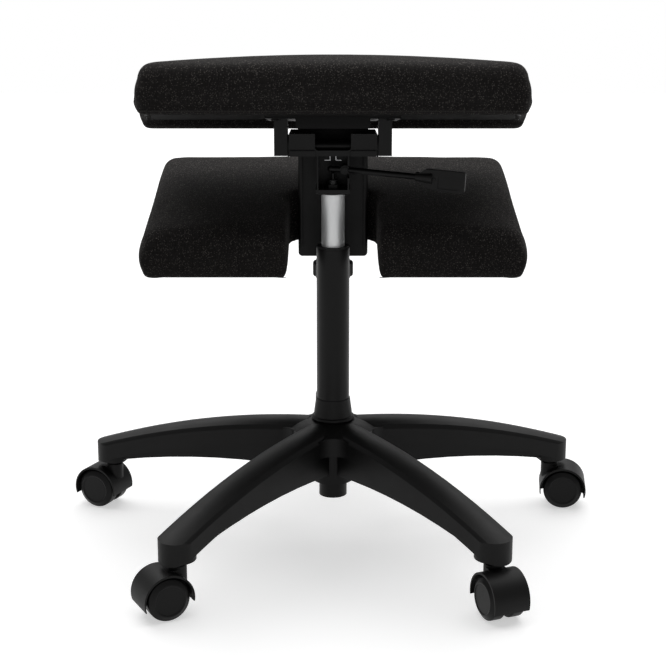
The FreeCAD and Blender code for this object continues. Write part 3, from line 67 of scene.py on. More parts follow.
class PadMaking(bpy.types.PropertyGroup):
    """How both cushions are filled and covered."""
    cover_net: FloatProperty(name="Cover net", description="Size of the cover's mesh before subdivision",
                             default=0.006, unit="LENGTH")
    slack: FloatProperty(name="Slack", description="How much smaller the cover starts before filling",
                         default=0.0004, unit="LENGTH")
    puff_limit: FloatProperty(name="Puff limit", description="Furthest that filling may move the cover",
                              default=0.0016, unit="LENGTH")
    pressure: FloatProperty(name="Filling pressure", description="Pressure of the foam on the cover",
                            default=4.0)
    frames: IntProperty(name="Filling steps", description="Steps of the filling simulation",
                        default=20)
    swell: FloatProperty(name="Swell", description="Evens out what the net takes off the edges",
                         default=0.0003, unit="LENGTH")
    hem_grip: FloatProperty(name="Held hem", description="Height of the cover that the board holds",
                            default=0.004, unit="LENGTH")


class Trim(bpy.types.PropertyGroup):
    """Seam thread and staples."""
    thread_gap: FloatProperty(name="Stitch gap", description="From one stitch to the next",
                              default=0.0036, unit="LENGTH")
    thread_length: FloatProperty(name="Stitch length", description="Length of one stitch",
                                 default=0.0030, unit="LENGTH")
    thread_radius: FloatProperty(name="Stitch radius", description="Half the thread's thickness",
                                 default=0.0005, unit="LENGTH")
    seam_height: FloatProperty(name="Seam height", description="Above the board's underside",
                               default=0.0035, unit="LENGTH")
    seam_margin: FloatProperty(name="Seam margin", description="Seam's end to the cushion's side",
                               default=0.016, unit="LENGTH")
    staple_gap: FloatProperty(name="Staple gap", description="From one staple to the next",
                              default=0.026, unit="LENGTH")
    staple_length: FloatProperty(name="Staple length", description="Length of a staple's crown",
                                 default=0.010, unit="LENGTH")
    staple_radius: FloatProperty(name="Staple radius", description="Half the staple wire's thickness",
                                 default=0.0005, unit="LENGTH")
    staple_reach: FloatProperty(name="Staple line", description="Outside the board's edge",
                                default=0.005, unit="LENGTH")
    seed: IntProperty(name="Seed", description="Seed of the small differences between pieces", default=7)


class Colours(bpy.types.PropertyGroup):
    """Colours of the finishes."""
    fabric: FloatVectorProperty(name="Fabric", description="Ground colour of the weave",
                                default=(0.0190, 0.0173, 0.0168), subtype="COLOR")
    fleck: FloatVectorProperty(name="Fleck", description="Pale threads in the weave",
                               default=(0.170, 0.158, 0.145), subtype="COLOR")
    # Pale enough to also paint the highlight that grazing light draws along the seat's lower rear edge.
    thread: FloatVectorProperty(name="Thread", description="Seam thread",
                                default=(0.060, 0.057, 0.054), subtype="COLOR")
    nylon: FloatVectorProperty(name="Nylon", description="Moulded base and hoods",
                               default=(0.0040, 0.0039, 0.0039), subtype="COLOR")
    wheel: FloatVectorProperty(name="Wheel", description="Moulded wheels",
                               default=(0.0036, 0.0035, 0.0035), subtype="COLOR")
    powder: FloatVectorProperty(name="Powder coat", description="Black steel parts",
                                default=(0.0034, 0.0033, 0.0033), subtype="COLOR")
    grip: FloatVectorProperty(name="Grip", description="Lever blade and knob",
                              default=(0.0085, 0.0083, 0.0081), subtype="COLOR")
    # Half of this shows as flat diffuse colour on the cylinder: painted reflection.
    chrome: FloatVectorProperty(name="Chrome", description="Gas cylinder",
                                default=(0.90, 0.91, 0.91), subtype="COLOR")
    zinc: FloatVectorProperty(name="Zinc", description="Plated small steel parts",
                              default=(0.46, 0.46, 0.47), subtype="COLOR")
    ply: FloatVectorProperty(name="Board", description="Stained boards under the cushions",
                             default=(0.0060, 0.0057, 0.0055), subtype="COLOR")


class StageSizes(bpy.types.PropertyGroup):
    """Camera, floor and lamps."""
    camera_back: FloatProperty(name="Camera distance", description="Behind the column",
                               default=1.9517, unit="LENGTH")
    camera_height: FloatProperty(name="Camera height", description="Above the floor",
                                 default=0.7902, unit="LENGTH")
    camera_pitch: FloatProperty(name="Camera pitch", description="Downward tilt of the view",
                                default=math.radians(15.236), unit="ROTATION")
    lens: FloatProperty(name="Lens", description="Focal length in millimetres", default=89.0)
    floor_size: FloatProperty(name="Floor", description="Side of the square floor",
                              default=9.0, unit="LENGTH")
    sky: FloatProperty(name="Room light", description="Strength of the light from all round",
                       default=0.16)
    glints: FloatProperty(name="Room in glints", description="Brightness of the room in reflections",
                          default=0.45)
    sun: FloatProperty(name="Overhead light", description="Strength of the wide light above",
                       default=2.5)
    sun_width: FloatProperty(name="Overhead width", description="Angle that the wide light above fills",
                             default=math.radians(78.0), unit="ROTATION")
    card_power: FloatProperty(name="Card", description="Power of the wide card behind the camera",
                              default=5.5)
    floor_white: FloatProperty(name="Floor white", description="Floor's own paint as the camera sees it",
                               default=0.80)
    floor_bounce: FloatProperty(name="Floor bounce", default=0.22,
                                description="Floor's paint as other surfaces see it")
    floor_glow: FloatProperty(name="Floor lift", description="Added where the camera sees the floor",
                              default=0.52)


class ChairSettings(bpy.types.PropertyGroup):
    """All of the chair's settings."""
    pad: PointerProperty(type=PadMaking)
    trim: PointerProperty(type=Trim)
    colours: PointerProperty(type=Colours)
    stage: PointerProperty(type=StageSizes)


def chosen():
    """The settings of this scene."""
    return bpy.context.scene.kneeling_chair


# Shader maths

class Val:
    """A socket's value in a shader, so that sums on it are written as expressions."""

    def __init__(self, shade, socket):
        self.shade = shade
        self.socket = socket

    def _math(self, operation, *others):
        return self.shade.maths(operation, self, *others)

    def __add__(self, other):
        return self._math("ADD", other)

    def __radd__(self, other):
        return self._math("ADD", other)

    def __sub__(self, other):
        return self._math("SUBTRACT", other)

    def __rsub__(self, other):
        return self.shade.maths("SUBTRACT", other, self)

    def __mul__(self, other):
        return self._math("MULTIPLY", other)

    def __rmul__(self, other):
        return self._math("MULTIPLY", other)

    def __gt__(self, other):
        return self._math("GREATER_THAN", other)

    def __mod__(self, other):
        return self._math("FLOORED_MODULO", other)

    def __pow__(self, exponent):
        return self._math("POWER", exponent)

    def sine(self):
        return self._math("SINE")

    def size(self):
        return self._math("ABSOLUTE")

    def floor(self):
        return self._math("FLOOR")

    def clamped(self, low, high):
        return self.shade.node("ShaderNodeClamp", {}, {"Value": self, "Min": low, "Max": high})


class Shade:
    """A material, or a world, whose nodes are made one call at a time."""

    def __init__(self, name, made=None):
        self.material = made or bpy.data.materials.new(name)
        self.material.use_nodes = True
        self.tree = self.material.node_tree
        self.tree.nodes.clear()

    def node(self, kind, settings=None, inputs=None, output=0):
        """One node: its settings first, then the values or links of its sockets."""
        made = self.tree.nodes.new(kind)
        for key, value in (settings or {}).items():
            setattr(made, key, value)
        for key, value in (inputs or {}).items():
            socket = made.inputs[key]
            if isinstance(value, Val):
                self.tree.links.new(value.socket, socket)
            else:
                socket.default_value = value
        return Val(self, made.outputs[output]) if made.outputs else None

    def maths(self, operation, *values):
        """One sum on values or numbers."""
        return self.node("ShaderNodeMath", {"operation": operation}, dict(enumerate(values)))

    def parts(self, vector):
        """The x, y and z of a vector."""
        split = self.node("ShaderNodeSeparateXYZ", {}, {0: vector})
        outputs = split.socket.node.outputs
        return [Val(self, outputs[index]) for index in range(3)]

    def scaled(self, vector, factor):
        """A vector times one number."""
        return self.node("ShaderNodeVectorMath", {"operation": "SCALE"}, {0: vector, "Scale": factor})

    def noise(self, vector, scale, detail=3.0, roughness=0.5):
        """A noise value, about 0.5 on average."""
        return self.node("ShaderNodeTexNoise", {}, {
            "Vector": vector, "Scale": scale, "Detail": detail, "Roughness": roughness})

    def mix(self, factor, first, second):
        """A colour between two colours."""
        return self.node("ShaderNodeMix", {"data_type": "RGBA"}, {0: factor, 6: first, 7: second}, 2)

    def finish(self, **inputs):
        """End the material in one surface shader."""
        names = {key.replace("_", " ").title().replace("Ior", "IOR"): value
                 for key, value in inputs.items()}
        shader = self.node("ShaderNodeBsdfPrincipled", {}, names)
        self.node("ShaderNodeOutputMaterial", {}, {"Surface": shader})
        return self.material

    def bump(self, height, strength, distance):
        """A normal from a height."""
        return self.node("ShaderNodeBump", {}, {
            "Height": height, "Strength": strength, "Distance": distance})

    def place(self):
        """The point on the object, in metres."""
        return self.node("ShaderNodeTexCoord", {}, {}, 3)


def colour4(colour, factor=1.0):
    """A colour with its alpha, made lighter or darker."""
    return (*[part * factor for part in colour], 1.0)


# Finishes

YARN = 0.95 * MM
DRIFT = 1.2 * MM             # how far the yarns wander
HOUSING_SHADE_ABOVE = 3 * MM          # painted shade on the cylinder starts this far inside the housing's plate
# Painted shade: the near black colour of the cylinder inside the housing.
HOUSING_SHADE_TONE = (0.02, 0.02, 0.02, 1.0)
RUBBER_DARK = (0.010, 0.010, 0.010, 1.0)
RUBBER_PALE = (0.022, 0.022, 0.022, 1.0)


def woven_fabric():
    """Plain black weave with uneven yarns, faint slubs and dense pale flecks, with painted shade between
    the yarns and painted light on their crowns.
    """
    shade = Shade("woven_fabric")
    colours = chosen().colours
    flat = shade.node("ShaderNodeUVMap", {"uv_map": "weave"})
    drift = shade.node("ShaderNodeTexNoise", {}, {"Vector": flat, "Scale": 70.0, "Detail": 2.0}, 1)
    bent = shade.node("ShaderNodeVectorMath", {"operation": "ADD"}, {
        0: flat, 1: shade.scaled(drift, DRIFT)})
    along, across, _ = shade.parts(shade.scaled(bent, 1.0 / YARN))
    over = (along.floor() + across.floor()) % 2.0
    warp = (along * math.pi).sine().size()
    weft = (across * math.pi).sine().size()
    yarn = warp * over + weft * (1.0 - over)
    cell = shade.node("ShaderNodeCombineXYZ", {}, {0: along.floor(), 1: across.floor()})
    chance = shade.node("ShaderNodeTexWhiteNoise", {"noise_dimensions": "2D"}, {"Vector": cell})
    patches = shade.noise(flat, 60.0, 2.0, 0.6)
    rare = (chance * 4.2 - 3.25 + (patches - 0.5) * 0.5).clamped(0.0, 1.0)
    # Painted shade: flecks are dimmed in the gaps between the yarns.
    fleck = (rare ** 2.0) * (0.45 + 0.55 * yarn)
    long_way = shade.node("ShaderNodeCombineXYZ", {}, {0: along * 0.9, 1: across * 0.03})
    cross_way = shade.node("ShaderNodeCombineXYZ", {}, {0: along * 0.03, 1: across * 0.9})
    slubs = shade.noise(long_way, 1.0, 2.0, 0.5) + shade.noise(cross_way, 1.0, 2.0, 0.5)
    tone = shade.noise(flat, 11.0, 3.0, 0.6)
    # The yarn term paints shade into the gaps between the yarns and light onto their crowns; tone and
    # slubs are the yarn's own uneven colour.
    body = yarn * 0.55 + tone * 0.35 + (slubs - 1.0) * 1.1 + 0.02
    shaded, lit = colour4(colours.fabric, 0.50), colour4(colours.fabric, 1.6)
    ground = shade.mix(body.clamped(0.0, 1.0), shaded, lit)
    colour = shade.mix(fleck, ground, colour4(colours.fleck))
    fuzz = shade.noise(flat, 2600.0, 2.0, 0.7)
    normal = shade.bump(yarn + fuzz * 0.35, 0.5, 0.30 * MM)
    return shade.finish(base_color=colour, roughness=0.92, specular_ior_level=0.12, normal=normal,
                        sheen_weight=0.05, sheen_roughness=0.45, sheen_tint=(0.75, 0.73, 0.72, 1.0))


def seam_thread():
    """Grey sewing thread, pale enough to also paint the highlight that grazing light draws along the
    seat's lower rear edge.
    """
    shade = Shade("seam_thread")
    twist = shade.noise(shade.place(), 1400.0, 2.0, 0.6)
    colour = chosen().colours.thread
    return shade.finish(base_color=shade.mix(twist, colour4(colour, 0.7), colour4(colour, 1.3)),
                        roughness=0.85, specular_ior_level=0.2)


def grained_nylon(name, colour, roughness, grain):
    """Moulded nylon with a fine spark-eroded grain and soft flow marks."""
    shade = Shade(name)
    here = shade.place()
    fine = shade.noise(here, grain, 2.0, 0.6)
    flow = shade.noise(here, 26.0, 4.0, 0.55)
    colour_mix = shade.mix(flow, colour4(colour, 0.80), colour4(colour, 1.22))
    rough = roughness + (flow - 0.5) * 0.14 + (fine - 0.5) * 0.10
    return shade.finish(base_color=colour_mix, roughness=rough, specular_ior_level=0.18,
                        normal=shade.bump(fine, 0.22, 0.10 * MM))


def powder_coat():
    """Black powder coat with a faint orange-peel surface."""
    shade = Shade("powder_coat")
    here = shade.place()
    peel = shade.noise(here, 420.0, 2.0, 0.5)
    dust = shade.noise(here, 34.0, 5.0, 0.6)
    colour = chosen().colours.powder
    colour_mix = shade.mix(dust, colour4(colour, 0.82), colour4(colour, 1.25))
    rough = 0.42 + (dust - 0.5) * 0.16
    return shade.finish(base_color=colour_mix, roughness=rough, specular_ior_level=0.16,
                        normal=shade.bump(peel, 0.16, 0.12 * MM))


def ground_chrome():
    """Bright cylinder, ground round and round, with a thin trace of oil, and painted shade on its neck
    inside the housing.
    """
    shade = Shade("ground_chrome")
    here = shade.place()
    x, y, z = shade.parts(here)
    lines = shade.node("ShaderNodeCombineXYZ", {}, {0: x * 14.0, 1: y * 14.0, 2: z * 1500.0})
    grind = shade.noise(lines, 1.0, 3.0, 0.6)
    smear = shade.noise(here, 30.0, 3.0, 0.5)
    colour = chosen().colours.chrome
    bright = shade.mix(smear, colour4(colour, 0.95), colour4(colour, 1.03))
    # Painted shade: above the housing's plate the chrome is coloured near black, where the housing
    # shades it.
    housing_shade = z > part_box("mechanism_housing")[0][2] + HOUSING_SHADE_ABOVE
    colour_mix = shade.mix(housing_shade, bright, HOUSING_SHADE_TONE)
    rough = 0.48 + (grind - 0.5) * 0.10 + (smear - 0.5) * 0.08
    # Metallic is one half, so half of the pale colour shows as flat diffuse white: painted reflection
    # that keeps the cylinder's edges bright.
    return shade.finish(base_color=colour_mix, metallic=0.5, roughness=rough,
                        normal=shade.bump(grind, 0.05, 0.05 * MM))


def zinc_plate():
    """Plated steel with a soft, slightly blotched shine."""
    shade = Shade("zinc_plate")
    here = shade.place()
    blotch = shade.noise(here, 160.0, 4.0, 0.6)
    colour = chosen().colours.zinc
    colour_mix = shade.mix(blotch, colour4(colour, 0.82), colour4(colour, 1.15))
    rough = 0.34 + (blotch - 0.5) * 0.22
    return shade.finish(base_color=colour_mix, metallic=1.0, roughness=rough,
                        normal=shade.bump(blotch, 0.05, 0.05 * MM))


def stained_ply():
    """Black-stained plywood with its grain showing through."""
    shade = Shade("stained_ply")
    x, y, z = shade.parts(shade.place())
    stretched = shade.node("ShaderNodeCombineXYZ", {}, {0: x * 9.0, 1: y * 120.0, 2: z * 120.0})
    grain = shade.noise(stretched, 1.0, 5.0, 0.65)
    colour = chosen().colours.ply
    colour_mix = shade.mix(grain, colour4(colour, 0.65), colour4(colour, 1.7))
    return shade.finish(base_color=colour_mix, roughness=0.85 + (grain - 0.5) * 0.2,
                        specular_ior_level=0.03, normal=shade.bump(grain, 0.25, 0.15 * MM))


def soft_rubber():
    """Dull black rubber and acetal."""
    shade = Shade("soft_rubber")
    bloom = shade.noise(shade.place(), 90.0, 4.0, 0.6)
    colour_mix = shade.mix(bloom, RUBBER_DARK, RUBBER_PALE)
    return shade.finish(base_color=colour_mix, roughness=0.70 + (bloom - 0.5) * 0.2,
                        specular_ior_level=0.3, normal=shade.bump(bloom, 0.08, 0.10 * MM))


def dress(mesh, material):
    """Give a mesh its one finish."""
    mesh.materials.clear()
    mesh.materials.append(material)


# Shared mesh work

def object_of(name, mesh):
    """A new object at the origin that shows a mesh."""
    made = bpy.data.objects.new(name, mesh)
    bpy.context.scene.collection.objects.link(made)
    return made


def settled(piece):
    """Take a piece's modifiers into its mesh, so that none is left live."""
    graph = bpy.context.evaluated_depsgraph_get()
    mesh = bpy.data.meshes.new_from_object(piece.evaluated_get(graph), depsgraph=graph)
    old = piece.data
    piece.modifiers.clear()
    piece.data = mesh
    bpy.data.meshes.remove(old)


def smooth(piece):
    """Shade a piece smooth all over."""
    piece.data.polygons.foreach_set("use_smooth", [True] * len(piece.data.polygons))
    piece.data.update()


def level_of(board):
    """From a board's own level frame, with its underside at zero, to the chair."""
    mesh = frame["nodes"][board].data
    up = Vector((0.0, 0.0, 0.0))
    for face in mesh.polygons:
        if face.normal.z > 0.9:
            up += face.normal * face.area
    turn = Matrix.Rotation(math.atan2(-up.y, up.z), 4, "X")
    under = min((turn.inverted() @ vertex.co).z for vertex in mesh.vertices)
    return turn @ Matrix.Translation((0.0, 0.0, under))


def surface_of(mesh):
    """A mesh's surface, for rays and nearest points."""
    return BVHTree.FromPolygons([vertex.co for vertex in mesh.vertices],
                                [face.vertices for face in mesh.polygons])


def board_outline(board, level):
    """A board's outline in its level frame, without its notch."""
    back = level.inverted()
    flat = [(back @ vertex.co).to_2d() for vertex in frame["nodes"][board].data.vertices]
    return [flat[index] for index in convex_hull_2d(flat)]


# Cushions

CLOTH_SETTINGS = {
    "quality": 3,
    "mass": 0.25,
    "tension_stiffness": 18,
    "compression_stiffness": 14,
    "shear_stiffness": 8,
    "bending_stiffness": 1.2,
    "vertex_group_mass": "held",
    "use_pressure": True,
}


def even_mesh(piece, size):
    """Rebuild a piece's surface as an even net of small faces."""
    remesh = piece.modifiers.new("net", "REMESH")
    remesh.mode = "VOXEL"
    remesh.voxel_size = size
    remesh.use_smooth_shade = True
    soften = piece.modifiers.new("soften", "SMOOTH")
    soften.factor = 0.5
    soften.iterations = 1
    settled(piece)


def fitted(piece, form):
    """Bring an even net back onto the form that it was made from."""
    surface = surface_of(form)
    for vertex in piece.data.vertices:
        vertex.co = surface.find_nearest(vertex.co)[0]
    piece.data.update()


def fill_cushion(piece, held_height):
    """Fill a cover with foam: cloth under pressure, its hem held on the board."""
    pad = chosen().pad
    for vertex in piece.data.vertices:
        if vertex.co.z > held_height:
            vertex.co = vertex.co - vertex.normal * pad.slack
    held = piece.vertex_groups.new(name="held")
    held.add([v.index for v in piece.data.vertices if v.co.z < held_height], 1.0, "REPLACE")
    before = [v.co.copy() for v in piece.data.vertices]
    cloth = piece.modifiers.new("cover", "CLOTH")
    for key, value in CLOTH_SETTINGS.items():
        setattr(cloth.settings, key, value)
    cloth.settings.uniform_pressure_force = pad.pressure
    cloth.settings.effector_weights.gravity = 0.0
    cloth.collision_settings.use_collision = False
    cloth.collision_settings.use_self_collision = False
    cloth.point_cache.frame_start = 1
    cloth.point_cache.frame_end = pad.frames
    for step in range(1, pad.frames + 1):
        bpy.context.scene.frame_set(step)
    settled(piece)
    bpy.context.scene.frame_set(1)
    for vertex, start in zip(piece.data.vertices, before):
        move = vertex.co - start
        if move.length > pad.puff_limit:
            vertex.co = start + move * (pad.puff_limit / move.length)
    piece.vertex_groups.clear()


def swollen(piece, reach, held_height):
    """Move a cover outward along its normals, above its hem."""
    for vertex in piece.data.vertices:
        share = max(0.0, min((vertex.co.z - held_height) / held_height, 1.0))
        vertex.co = vertex.co + vertex.normal * (reach * share)


def subdivided(piece):
    """One level of subdivision, taken into the mesh."""
    finer = piece.modifiers.new("finer", "SUBSURF")
    finer.levels = finer.render_levels = 1
    settled(piece)


def weave_map(piece):
    """Lay the weave flat on each side of a cushion: a map in metres, face by face."""
    mesh = piece.data
    layer = mesh.uv_layers.new(name="weave")
    for face in mesh.polygons:
        n = face.normal
        sides = (abs(n.x), abs(n.y), abs(n.z))
        axis = sides.index(max(sides))
        for loop in face.loop_indices:
            point = mesh.vertices[mesh.loops[loop].vertex_index].co
            flat = ((point.y, point.z), (point.x, point.z), (point.x, point.y))[axis]
            layer.data[loop].uv = flat


def make_cushion(name, node, board, body):
    """A whole cushion: its packed form, an even net, filling, subdivision and the weave's map."""
    pad = chosen().pad
    level = level_of(board)
    piece = object_of(name, frame["nodes"][node].data.copy())
    piece.data.transform(level.inverted())
    form = piece.data.copy()
    even_mesh(piece, pad.cover_net)
    fitted(piece, form)
    bpy.data.meshes.remove(form)
    fill_cushion(piece, pad.hem_grip)
    swollen(piece, pad.swell, pad.hem_grip)
    subdivided(piece)
    weave_map(piece)
    piece.data.transform(level)
    smooth(piece)
    dress(piece.data, FINISH["fabric"])
    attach(piece, body)
    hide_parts(node)
    return piece


# Seams and staples

SEAM_STEP = 2 * MM           # between the rays that find the seam's line
SEAM_STAND = 0.2 * MM         # stitches stand off the cover by this much
STAPLE_STEP = 4 * MM         # between the rays that find the staples' line
HEM_TOP = 5 * MM             # rays that meet the cover above this have missed the hem
FAR_BEHIND = -1.0            # rays for the seam start here, behind the cushion
FAR_BELOW = -0.05            # rays for the staples start here, under the cushion
LEAST_SIZE = 0.88            # smallest and largest of the small bars, as factors
MOST_SIZE = 1.08


def traced(piece, level, starts, toward):
    """Where rays from level points meet a cushion, or None where they miss."""
    local = piece.data.copy()
    local.transform(level.inverted())
    surface = surface_of(local)
    bpy.data.meshes.remove(local)
    return [surface.ray_cast(Vector(start), Vector(toward))[0] for start in starts]


def path_object(name, level, points, shift):
    """A line through the points that were met, moved off the surface."""
    shape = bmesh.new()
    last = None
    for point in points:
        here = shape.verts.new(level @ (point + Vector(shift))) if point else None
        if last and here:
            shape.edges.new((last, here))
        last = here
    mesh = bpy.data.meshes.new(name)
    shape.to_mesh(mesh)
    shape.free()
    return object_of(name, mesh)


def row_tree(name, material):
    """A node tree that sets small round bars along a line at even gaps."""
    tree = bpy.data.node_groups.new(name, "GeometryNodeTree")
    face = tree.interface
    face.new_socket("Geometry", in_out="INPUT", socket_type="NodeSocketGeometry")
    for label in ("Gap", "Length", "Radius"):
        face.new_socket(label, in_out="INPUT", socket_type="NodeSocketFloat")
    face.new_socket("Seed", in_out="INPUT", socket_type="NodeSocketInt")
    face.new_socket("Geometry", in_out="OUTPUT", socket_type="NodeSocketGeometry")

    def node(kind, settings=None, **links):
        made = tree.nodes.new(kind)
        for key, value in (settings or {}).items():
            setattr(made, key, value)
        for key, value in links.items():
            socket = made.inputs[key.replace("_", " ")]
            if isinstance(value, bpy.types.NodeSocket):
                tree.links.new(value, socket)
            else:
                socket.default_value = value
        return made

    start = node("NodeGroupInput").outputs
    line = node("GeometryNodeMeshToCurve", Mesh=start["Geometry"]).outputs["Curve"]
    even = node("GeometryNodeResampleCurve", {"mode": "LENGTH"}, Curve=line, Length=start["Gap"])
    bar = node("GeometryNodeMeshCylinder", Vertices=8, Radius=start["Radius"], Depth=start["Length"])
    along = node("GeometryNodeInputTangent").outputs["Tangent"]
    turn = node("FunctionNodeAlignRotationToVector", {"axis": "Z"}, Vector=along).outputs["Rotation"]
    chance = node("FunctionNodeRandomValue", {"data_type": "FLOAT"}, Seed=start["Seed"])
    chance.inputs[2].default_value = LEAST_SIZE
    chance.inputs[3].default_value = MOST_SIZE
    set_out = node("GeometryNodeInstanceOnPoints", Points=even.outputs["Curve"],
                   Instance=bar.outputs["Mesh"], Rotation=turn, Scale=chance.outputs[1])
    real = node("GeometryNodeRealizeInstances", Geometry=set_out.outputs["Instances"])
    dressed = node("GeometryNodeSetMaterial", Geometry=real.outputs["Geometry"], Material=material)
    end = tree.nodes.new("NodeGroupOutput")
    tree.links.new(dressed.outputs["Geometry"], end.inputs["Geometry"])
    return tree


def row_along(piece, material, gap, length, radius, body):
    """Turn a line into a row of small bars that rides on a body."""
    tree = row_tree(piece.name, material)
    modifier = piece.modifiers.new("row", "NODES")
    modifier.node_group = tree
    values = {"Gap": gap, "Length": length, "Radius": radius, "Seed": chosen().trim.seed}
    for item in tree.interface.items_tree:
        if item.in_out == "INPUT" and item.name in values:
            modifier[item.identifier] = values[item.name]
    settled(piece)
    smooth(piece)
    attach(piece, body)


def sew_rear_edge(piece, board, body):
    """A line of pale stitches along a cushion's lower rear edge; their pale thread also paints the
    edge's highlight from grazing light.
    """
    trim = chosen().trim
    level = level_of(board)
    half = max(abs(point.x) for point in board_outline(board, level)) - trim.seam_margin
    count = int(2 * half / SEAM_STEP)
    starts = [(-half + 2 * half * k / count, FAR_BEHIND, trim.seam_height) for k in range(count + 1)]
    points = traced(piece, level, starts, (0.0, 1.0, 0.0))
    line = path_object(piece.name + "_seam", level, points, (0.0, -SEAM_STAND, 0.0))
    row_along(line, FINISH["thread"], trim.thread_gap, trim.thread_length, trim.thread_radius,
              body)


def staple_hem(piece, board, body):
    """Staples through the cover's hem, round the board."""
    trim = chosen().trim
    level = level_of(board)
    outline = board_outline(board, level)
    middle = sum(outline, Vector((0.0, 0.0))) / len(outline)
    starts = []
    for first, second in zip(outline, outline[1:] + outline[:1]):
        steps = max(1, int((second - first).length / STAPLE_STEP))
        for k in range(steps):
            spot = first.lerp(second, k / steps)
            spot = spot + (spot - middle).normalized() * trim.staple_reach
            starts.append((spot.x, spot.y, FAR_BELOW))
    starts.append(starts[0])
    points = traced(piece, level, starts, (0.0, 0.0, 1.0))
    points = [point if point and point.z < HEM_TOP else None for point in points]
    line = path_object(piece.name + "_staples", level, points, (0.0, 0.0, 0.0))
    row_along(line, FINISH["powder"], trim.staple_gap, trim.staple_length, trim.staple_radius,
              body)


FINISH = {}


class KNEELING_CHAIR_OT_finishes(bpy.types.Operator):
    """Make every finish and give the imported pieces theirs"""
    bl_idname = "kneeling_chair.finishes"
    bl_label = "Finishes"

    def execute(self, context):
        colours = chosen().colours
        FINISH.update({
            "fabric": woven_fabric(),
            "thread": seam_thread(),
            "nylon": grained_nylon("grained_nylon", colours.nylon, 0.50, 1500.0),
            "wheel": grained_nylon("wheel_plastic", colours.wheel, 0.44, 1900.0),
            "grip": grained_nylon("grip_plastic", colours.grip, 0.55, 1200.0),
            "powder": powder_coat(),
            "chrome": ground_chrome(),
            "zinc": zinc_plate(),
            "ply": stained_ply(),
            "rubber": soft_rubber(),
        })
        looks = {
            "seat_fabric": "fabric", "knee_fabric": "fabric", "plywood": "ply", "nylon": "nylon",
            "wheel_plastic": "wheel", "black_steel": "powder", "chrome_steel": "chrome",
            "plain_steel": "zinc", "soft_plastic": "grip", "rubber_black": "rubber",
            "bush_plastic": "rubber",
        }
        for row in frame["record"]["subparts"]:
            dress(frame["nodes"][row["node"]].data, FINISH[looks[row["material_slot"]]])
        return {"FINISHED"}


class KNEELING_CHAIR_OT_seat(bpy.types.Operator):
    """Upholster the seat"""
    bl_idname = "kneeling_chair.seat"
    bl_label = "Seat cushion"

    def execute(self, context):
        piece = make_cushion("seat_upholstery", "seat_cushion", "seat_board", "seat")
        sew_rear_edge(piece, "seat_board", "seat")
        staple_hem(piece, "seat_board", "seat")
        return {"FINISHED"}


class KNEELING_CHAIR_OT_knee_pad(bpy.types.Operator):
    """Upholster the knee pad"""
    bl_idname = "kneeling_chair.knee_pad"
    bl_label = "Knee pad"

    def execute(self, context):
        piece = make_cushion("knee_upholstery", "knee_cushion", "knee_board", "knee_pad")
        staple_hem(piece, "knee_board", "knee_pad")
        return {"FINISHED"}


# Stage

OVERHEAD_PLACE = (0.0, 1.4, 3.0)
CARD_PLACE = (-0.3, -3.2, 1.0)
CARD_TARGET = (0.0, 0.0, 0.4)
CARD_WIDTH = 4.2
CARD_HEIGHT = 1.5


def white_room():
    """World light that is white behind the object and softer elsewhere."""
    stage = chosen().stage
    world = bpy.data.worlds.new("white_room")
    shade = Shade("white_room", world)
    rays = shade.node("ShaderNodeLightPath").socket.node.outputs
    shown = Val(shade, rays["Is Camera Ray"])
    glint = Val(shade, rays["Is Glossy Ray"])
    others = (1.0 - shown - glint).clamped(0.0, 1.0)
    strength = shown + glint * stage.glints + others * stage.sky
    light = shade.node("ShaderNodeBackground", {}, {
        "Color": WHITE, "Strength": strength})
    shade.node("ShaderNodeOutputWorld", {}, {"Surface": light})
    bpy.context.scene.world = world


def floor_finish():
    """White floor that keeps the object's soft shadow."""
    stage = chosen().stage
    shade = Shade("white_floor")
    rays = shade.node("ShaderNodeLightPath").socket.node.outputs
    seen = (Val(shade, rays["Is Camera Ray"]) + Val(shade, rays["Is Glossy Ray"])).clamped(0.0, 1.0)
    paint = shade.mix(seen, colour4((stage.floor_bounce,) * 3), colour4((stage.floor_white,) * 3))
    matt = shade.node("ShaderNodeBsdfDiffuse", {}, {"Color": paint})
    glow = shade.node("ShaderNodeEmission", {}, {
        "Color": WHITE, "Strength": seen * stage.floor_glow})
    both = shade.node("ShaderNodeAddShader", {}, {0: matt, 1: glow})
    shade.node("ShaderNodeOutputMaterial", {}, {"Surface": both})
    return shade.material


def lamp(name, kind, place, target):
    """A lamp at a place that points at a target."""
    data = bpy.data.lights.new(name, kind)
    made = bpy.data.objects.new(name, data)
    bpy.context.scene.collection.objects.link(made)
    made.location = place
    made.rotation_euler = (Vector(target) - Vector(place)).to_track_quat("-Z", "Y").to_euler()
    return data


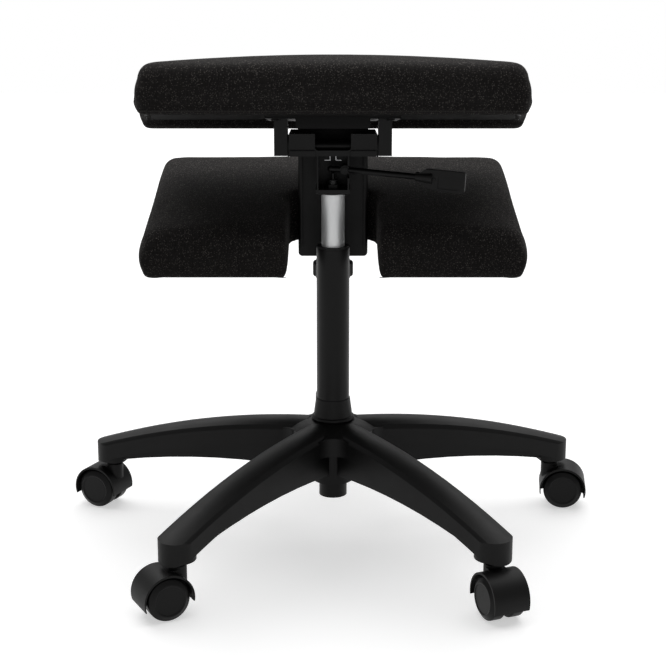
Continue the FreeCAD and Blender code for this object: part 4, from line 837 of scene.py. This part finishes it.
class KNEELING_CHAIR_OT_stage(bpy.types.Operator):
    """Set up the floor, the lamps and the camera"""
    bl_idname = "kneeling_chair.stage"
    bl_label = "Stage"

    def execute(self, context):
        stage = chosen().stage
        half = stage.floor_size / 2
        mesh = bpy.data.meshes.new("floor")
        corners = [(-half, -half, 0), (half, -half, 0), (half, half, 0), (-half, half, 0)]
        mesh.from_pydata(corners, [], [(0, 1, 2, 3)])
        floor = object_of("floor", mesh)
        mesh.materials.append(floor_finish())
        white_room()
        overhead = lamp("overhead", "SUN", OVERHEAD_PLACE, (0.0, 0.0, 0.0))
        overhead.energy = stage.sun
        overhead.angle = stage.sun_width
        card = lamp("card", "AREA", CARD_PLACE, CARD_TARGET)
        card.shape = "RECTANGLE"
        card.size = CARD_WIDTH
        card.size_y = CARD_HEIGHT
        card.energy = stage.card_power
        camera = bpy.data.cameras.new("camera")
        camera.lens = stage.lens
        viewer = bpy.data.objects.new("camera", camera)
        context.scene.collection.objects.link(viewer)
        viewer.location = (0.0, -stage.camera_back, stage.camera_height)
        viewer.rotation_euler = (math.pi / 2 - stage.camera_pitch, 0.0, 0.0)
        context.scene.camera = viewer
        context.scene.view_settings.view_transform = "Standard"
        return {"FINISHED"}


class KNEELING_CHAIR_PT_panel(bpy.types.Panel):
    """The chair's pieces and settings"""
    bl_idname = "KNEELING_CHAIR_PT_panel"
    bl_label = "Kneeling Chair"
    bl_space_type = "VIEW_3D"
    bl_region_type = "UI"
    bl_category = "Kneeling Chair"

    def draw(self, context):
        settings = context.scene.kneeling_chair
        for group in (settings.pad, settings.trim, settings.colours, settings.stage):
            box = self.layout.box()
            for key in group.__annotations__:
                box.prop(group, key)
        for operator in OPERATORS:
            self.layout.operator(operator.bl_idname)


OPERATORS = (
    KNEELING_CHAIR_OT_stage,
    KNEELING_CHAIR_OT_finishes,
    KNEELING_CHAIR_OT_seat,
    KNEELING_CHAIR_OT_knee_pad,
)

GROUPS = (PadMaking, Trim, Colours, StageSizes, ChairSettings)


def register():
    """Register the settings, the operators and the panel."""
    for item in (*GROUPS, *OPERATORS, KNEELING_CHAIR_PT_panel):
        bpy.utils.register_class(item)
    bpy.types.Scene.kneeling_chair = PointerProperty(type=ChairSettings)


def unregister():
    """Take them away again."""
    del bpy.types.Scene.kneeling_chair
    for item in reversed((*GROUPS, *OPERATORS, KNEELING_CHAIR_PT_panel)):
        bpy.utils.unregister_class(item)


def main():
    """Build the whole chair."""
    register()
    bpy.ops.kneeling_chair.stage()
    bpy.ops.kneeling_chair.finishes()
    bpy.ops.kneeling_chair.seat()
    bpy.ops.kneeling_chair.knee_pad()


if __name__ == "__main__":
    main()
